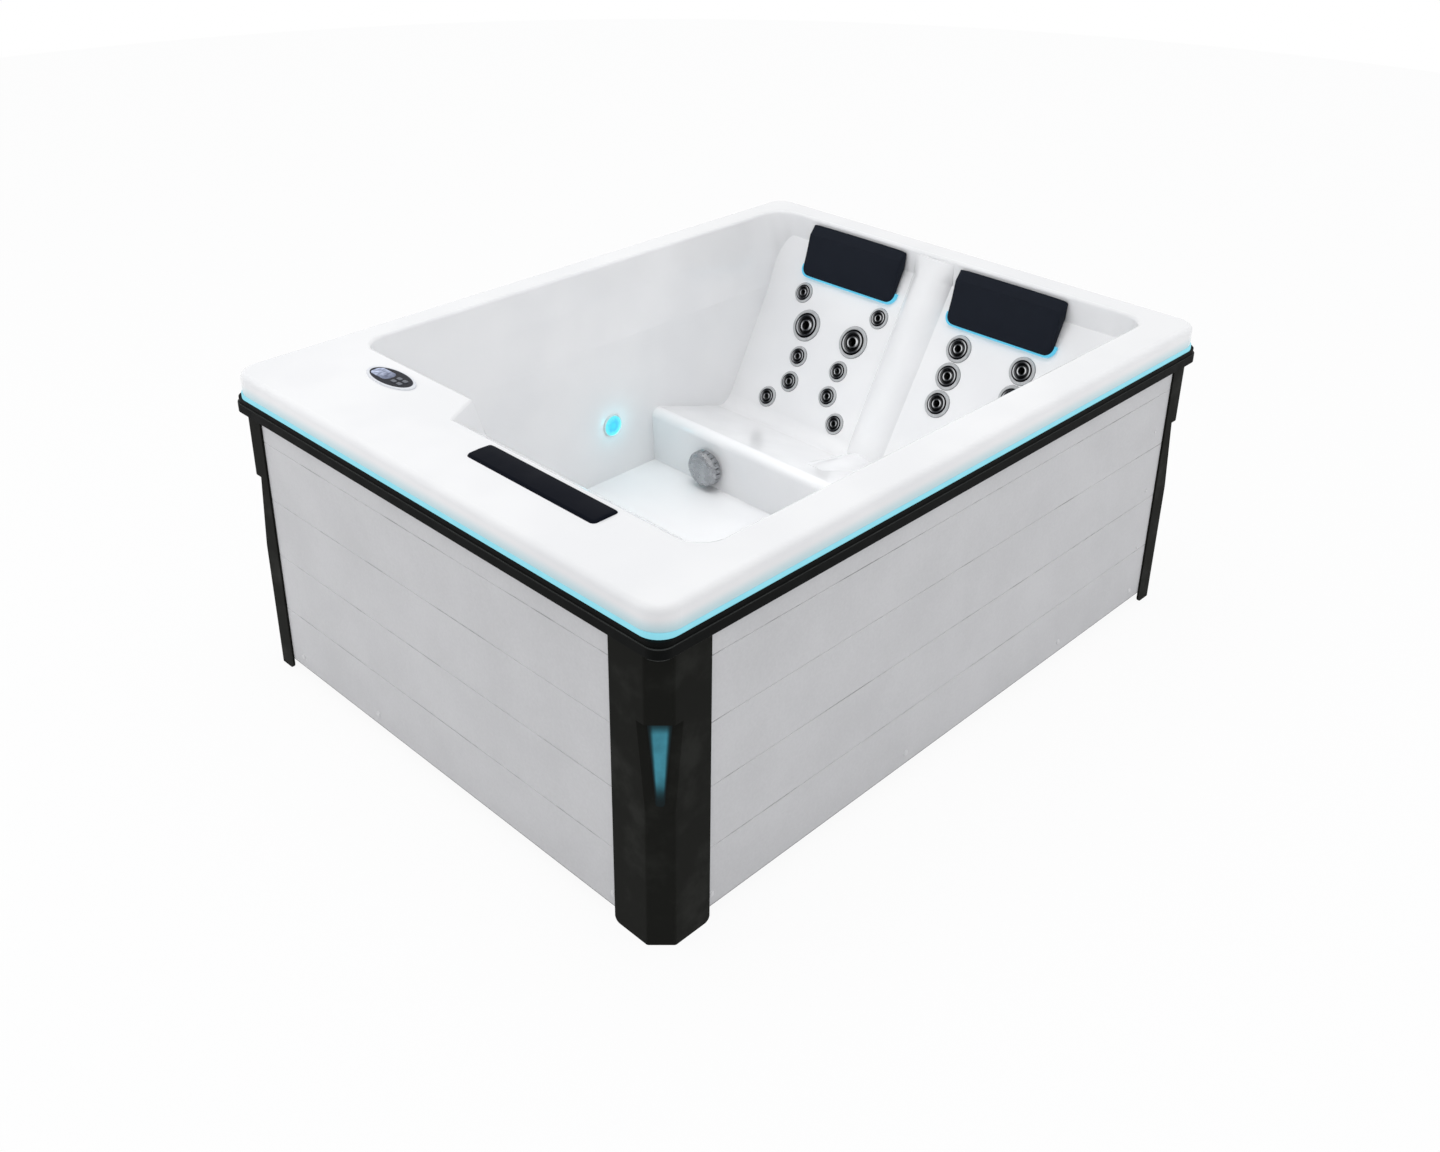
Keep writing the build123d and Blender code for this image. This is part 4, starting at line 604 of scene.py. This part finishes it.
def paint_jets():
    """Each turning face gets its ring pattern about its own centre."""
    for joint in frame["joints"]:
        if joint["type"] != "hinge":
            continue
        node = "jet_" + joint["child"]
        centre = bpy.data.objects.new("centre_" + joint["child"], None)
        bpy.context.scene.collection.objects.link(centre)
        turn = Vector(joint["axis"]).to_track_quat("Z", "Y").to_matrix().to_4x4()
        centre.matrix_world = Matrix.Translation(joint["pos_m"]) @ turn
        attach(centre, joint["child"])
        low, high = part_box(node)
        radius = (high.y - low.y) / 2
        give(jet_material(node + "_steel", centre, radius), node)


def set_camera():
    """The camera that took the photograph."""
    azimuth = math.radians(CAMERA_AZIMUTH)
    elevation = math.radians(CAMERA_ELEVATION)
    roll = math.radians(CAMERA_ROLL)
    ahead = Vector((
        math.cos(elevation) * math.cos(azimuth),
        math.cos(elevation) * math.sin(azimuth),
        -math.sin(elevation),
    ))
    right = Vector((math.sin(azimuth), -math.cos(azimuth), 0.0))
    up = right.cross(ahead)
    turned_right = math.cos(roll) * right + math.sin(roll) * up
    turned_up = -math.sin(roll) * right + math.cos(roll) * up
    data = bpy.data.cameras.new("camera")
    data.sensor_width = SENSOR_WIDTH
    data.lens = CAMERA_FOCAL_PX * SENSOR_WIDTH / IMAGE_WIDTH
    data.shift_y = CAMERA_SHIFT
    data.clip_end = 50.0
    camera = bpy.data.objects.new("camera", data)
    bpy.context.scene.collection.objects.link(camera)
    turn = Matrix((turned_right, turned_up, -ahead)).transposed().to_4x4()
    camera.matrix_world = Matrix.Translation(CAMERA_PLACE) @ turn
    bpy.context.scene.camera = camera


def area_light(name, place, target, size, power, spread):
    """A soft round lamp that neither the camera nor a reflection shows."""
    data = bpy.data.lights.new(name, "AREA")
    data.shape = "DISK"
    data.size = size
    data.energy = power
    data.spread = math.radians(spread)
    lamp = bpy.data.objects.new(name, data)
    bpy.context.scene.collection.objects.link(lamp)
    look = Vector(target) - Vector(place)
    turn = look.to_track_quat("-Z", "Y").to_matrix().to_4x4()
    lamp.matrix_world = Matrix.Translation(place) @ turn
    lamp.visible_camera = False
    lamp.visible_glossy = False


def seen_directly(tree):
    """One for camera, mirror and glass rays, nought for the rays that light the object."""
    rays = tree.nodes.new("ShaderNodeLightPath")
    glossy = maths(tree, "MAXIMUM", rays.outputs["Is Glossy Ray"], rays.outputs["Is Transmission Ray"])
    return maths(tree, "MAXIMUM", rays.outputs["Is Camera Ray"], glossy)


def make_floor():
    """A wide pale floor that reads as white and keeps a faint shadow."""
    mesh = bpy.data.meshes.new("floor")
    build = bmesh.new()
    bmesh.ops.create_circle(build, cap_ends=True, radius=FLOOR_RADIUS, segments=96)
    build.to_mesh(mesh)
    build.free()
    floor = bpy.data.objects.new("floor", mesh)
    bpy.context.scene.collection.objects.link(floor)
    floor.location.z = -FLOOR_DROP
    material = bpy.data.materials.new("floor_white")
    material.use_nodes = True
    tree = material.node_tree
    tree.nodes.clear()
    output = tree.nodes.new("ShaderNodeOutputMaterial")
    matt = tree.nodes.new("ShaderNodeBsdfDiffuse")
    matt.inputs["Color"].default_value = FLOOR_COLOUR
    white = tree.nodes.new("ShaderNodeEmission")
    choose = tree.nodes.new("ShaderNodeMixShader")
    tree.links.new(maths(tree, "MULTIPLY", seen_directly(tree), FLOOR_WHITENESS), choose.inputs[0])
    tree.links.new(matt.outputs[0], choose.inputs[1])
    tree.links.new(white.outputs[0], choose.inputs[2])
    tree.links.new(choose.outputs[0], output.inputs[0])
    give(material, floor)


def set_light():
    """A white surround as seen, and soft light from above for the surfaces."""
    scene = bpy.context.scene
    scene.view_settings.view_transform = "Standard"
    world = bpy.data.worlds.new("surround")
    scene.world = world
    world.use_nodes = True
    tree = world.node_tree
    tree.nodes.clear()
    output = tree.nodes.new("ShaderNodeOutputWorld")
    seen = tree.nodes.new("ShaderNodeBackground")
    seen.inputs["Color"].default_value = (1.0, 1.0, 1.0, 1.0)
    seen.inputs["Strength"].default_value = 1.0
    lit = tree.nodes.new("ShaderNodeBackground")
    direction = tree.nodes.new("ShaderNodeTexCoord").outputs["Generated"]
    level = remap(tree, axis_of(tree, direction, 2), -0.3, 0.9, 0.0, 1.0, True)
    tree.links.new(mix(tree, level, WORLD_LOW, WORLD_HIGH), lit.inputs["Color"])
    lit.inputs["Strength"].default_value = WORLD_STRENGTH
    choose = tree.nodes.new("ShaderNodeMixShader")
    tree.links.new(seen_directly(tree), choose.inputs[0])
    tree.links.new(lit.outputs[0], choose.inputs[1])
    tree.links.new(seen.outputs[0], choose.inputs[2])
    tree.links.new(choose.outputs[0], output.inputs[0])
    for lamp in LAMPS:
        area_light(*lamp)


def glow_at_lamp():
    """The cyan light that the underwater lamp throws on the wall round it."""
    low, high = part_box("light_lens")
    data = bpy.data.lights.new("lamp_glow", "POINT")
    data.energy = GLOW_POWER
    data.color = GLOW_COLOUR
    data.shadow_soft_size = 0.02
    lamp = bpy.data.objects.new("lamp_glow", data)
    bpy.context.scene.collection.objects.link(lamp)
    lamp.location = ((low.x + high.x) / 2, low.y - GLOW_GAP, (low.z + high.z) / 2)
    lamp.visible_camera = False


def pillow_rows(middle):
    """Rings of points across a head pillow, from its foot up its face and over its crest."""
    foot = SEAT_REAR + BACK_ALONG * PILLOW_FOOT_ALONG
    face = foot + BACK_NORMAL * PILLOW_FOOT_THICKNESS
    crest = PILLOW_CREST
    top = Vector((PILLOW_WALL_X - PILLOW_TOP_ROUNDING[0], 0.0, PILLOW_TOP_Z))
    shelf = BACK_TOP + Vector((0.0, 0.0, 0.001))
    wall = Vector((PILLOW_WALL_X, 0.0, PILLOW_TOP_Z - PILLOW_TOP_ROUNDING[1]))
    rows = []
    for share in PILLOW_FACE_ROWS:
        rows.append((face.lerp(crest, share), foot.lerp(shelf, min(1.0, share * 1.1)), share))
    for share in PILLOW_TOP_ROWS:
        rows.append((crest.lerp(top, share), shelf.lerp(wall, share), 1.0))
    length = (crest - face).length
    rings = []
    for front, back, share in rows:
        rise = min(PILLOW_CORNER_RADIUS, share * length)
        below = PILLOW_CORNER_RADIUS - rise
        inward = PILLOW_CORNER_RADIUS - math.sqrt(PILLOW_CORNER_RADIUS ** 2 - below ** 2)
        waist = PILLOW_WAIST * math.sin(math.pi * share)
        half = PILLOW_WIDTH / 2 - inward - waist
        crown = PILLOW_TOP_CROWN
        if share < 1.0:
            crown = PILLOW_CROWN * math.sin(math.pi * min(1.0, 0.10 + 0.85 * share))
        rings.append(pillow_ring(middle, half, front, back, crown))
    return rings


def pillow_ring(middle, half, front, back, crown):
    """One closed ring: the crowned face from side to side, then back along the shell."""
    depth = front - back
    out = depth.normalized()
    ring = []
    for share, level in PILLOW_PROFILE:
        bulge = crown * (1.0 - share ** 4) * level
        point = back + depth * level + out * bulge
        ring.append((point.x, middle + share * half, point.z))
    for share in PILLOW_BACK_SHARES:
        point = back + out * PILLOW_BACK_GAP
        ring.append((point.x, middle + share * half, point.z))
    return ring


def lofted(name, rows):
    """A closed mesh through rows of points, its ends capped."""
    mesh = bpy.data.meshes.new(name)
    build = bmesh.new()
    rings = [[build.verts.new(point) for point in row] for row in rows]
    for first, second in zip(rings, rings[1:]):
        for i in range(len(first)):
            j = (i + 1) % len(first)
            build.faces.new((first[i], first[j], second[j], second[i]))
    build.faces.new(rings[0][::-1])
    build.faces.new(rings[-1])
    bmesh.ops.recalc_face_normals(build, faces=build.faces)
    build.to_mesh(mesh)
    build.free()
    piece = bpy.data.objects.new(name, mesh)
    bpy.context.scene.collection.objects.link(piece)
    return piece


def round_off(piece, width, segments=3, angle=25.0):
    """Rounded edges and smooth shading."""
    bevel = piece.modifiers.new("round", "BEVEL")
    bevel.width = width
    bevel.segments = segments
    bevel.limit_method = "ANGLE"
    bevel.angle_limit = math.radians(angle)
    piece.data.polygons.foreach_set("use_smooth", [True] * len(piece.data.polygons))


def subdivide(piece):
    """A smooth skin over the piece's few rows."""
    skin = piece.modifiers.new("skin", "SUBSURF")
    skin.levels = 2
    skin.render_levels = 2
    piece.data.polygons.foreach_set("use_smooth", [True] * len(piece.data.polygons))


def make_pillows():
    """Three foam pillows in the place of their CAD solids."""
    skin = pillow_material("pillow_navy", *PILLOW_NAVY)
    # Painted shade: the foot pillow wears a darker copy of the navy skin.
    painted_shade_skin = pillow_material("pillow_navy_painted_shade", *PILLOW_NAVY_PAINTED_SHADE)
    for node in ("pillow_left", "pillow_right"):
        low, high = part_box(node)
        piece = lofted("foam_" + node, pillow_rows((low.y + high.y) / 2))
        subdivide(piece)
        finish_pillow(piece, node, skin)
    low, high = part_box("pillow_foot")
    piece = lofted("foam_pillow_foot", slab_rows(low, high))
    round_off(piece, FLAT_PILLOW_ROUNDING)
    finish_pillow(piece, "pillow_foot", painted_shade_skin)


def slab_rows(low, high):
    """Rows of a long flat pillow with a slightly crowned top and rounded ends."""
    half = (high.x - low.x) / 2
    centre = (high.x + low.x) / 2
    length = high.y - low.y
    rows = []
    for share, pull in FLAT_PILLOW_ROWS:
        y = low.y + share * length
        side = half * (1.0 - pull * FLAT_PILLOW_END_PULL)
        crown = high.z - (0.0015 if 0.0 < share < 1.0 else 0.004)
        rows.append([
            (centre - side, y, low.z),
            (centre - side, y, crown - FLAT_PILLOW_EDGE),
            (centre - side + FLAT_PILLOW_EDGE, y, crown),
            (centre, y, crown + FLAT_PILLOW_CROWN),
            (centre + side - FLAT_PILLOW_EDGE, y, crown),
            (centre + side, y, crown - FLAT_PILLOW_EDGE),
            (centre + side, y, low.z),
        ])
    return rows


def finish_pillow(piece, node, skin):
    """Skin and body for one pillow, with its CAD solid hidden."""
    give(skin, piece)
    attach(piece, ROOT)
    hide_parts(node)


def smooth_frame():
    """Smooth shading on the curved CAD nodes."""
    for name, target in NODES.items():
        if target.hide_render:
            continue
        mesh = target.data
        mesh.polygons.foreach_set("use_smooth", [True] * len(mesh.polygons))
        mesh.set_sharp_from_angle(angle=math.radians(SMOOTH_ANGLE))


paint_frame()
paint_jets()
make_pillows()
smooth_frame()
set_camera()
set_light()
make_floor()
glow_at_lamp()
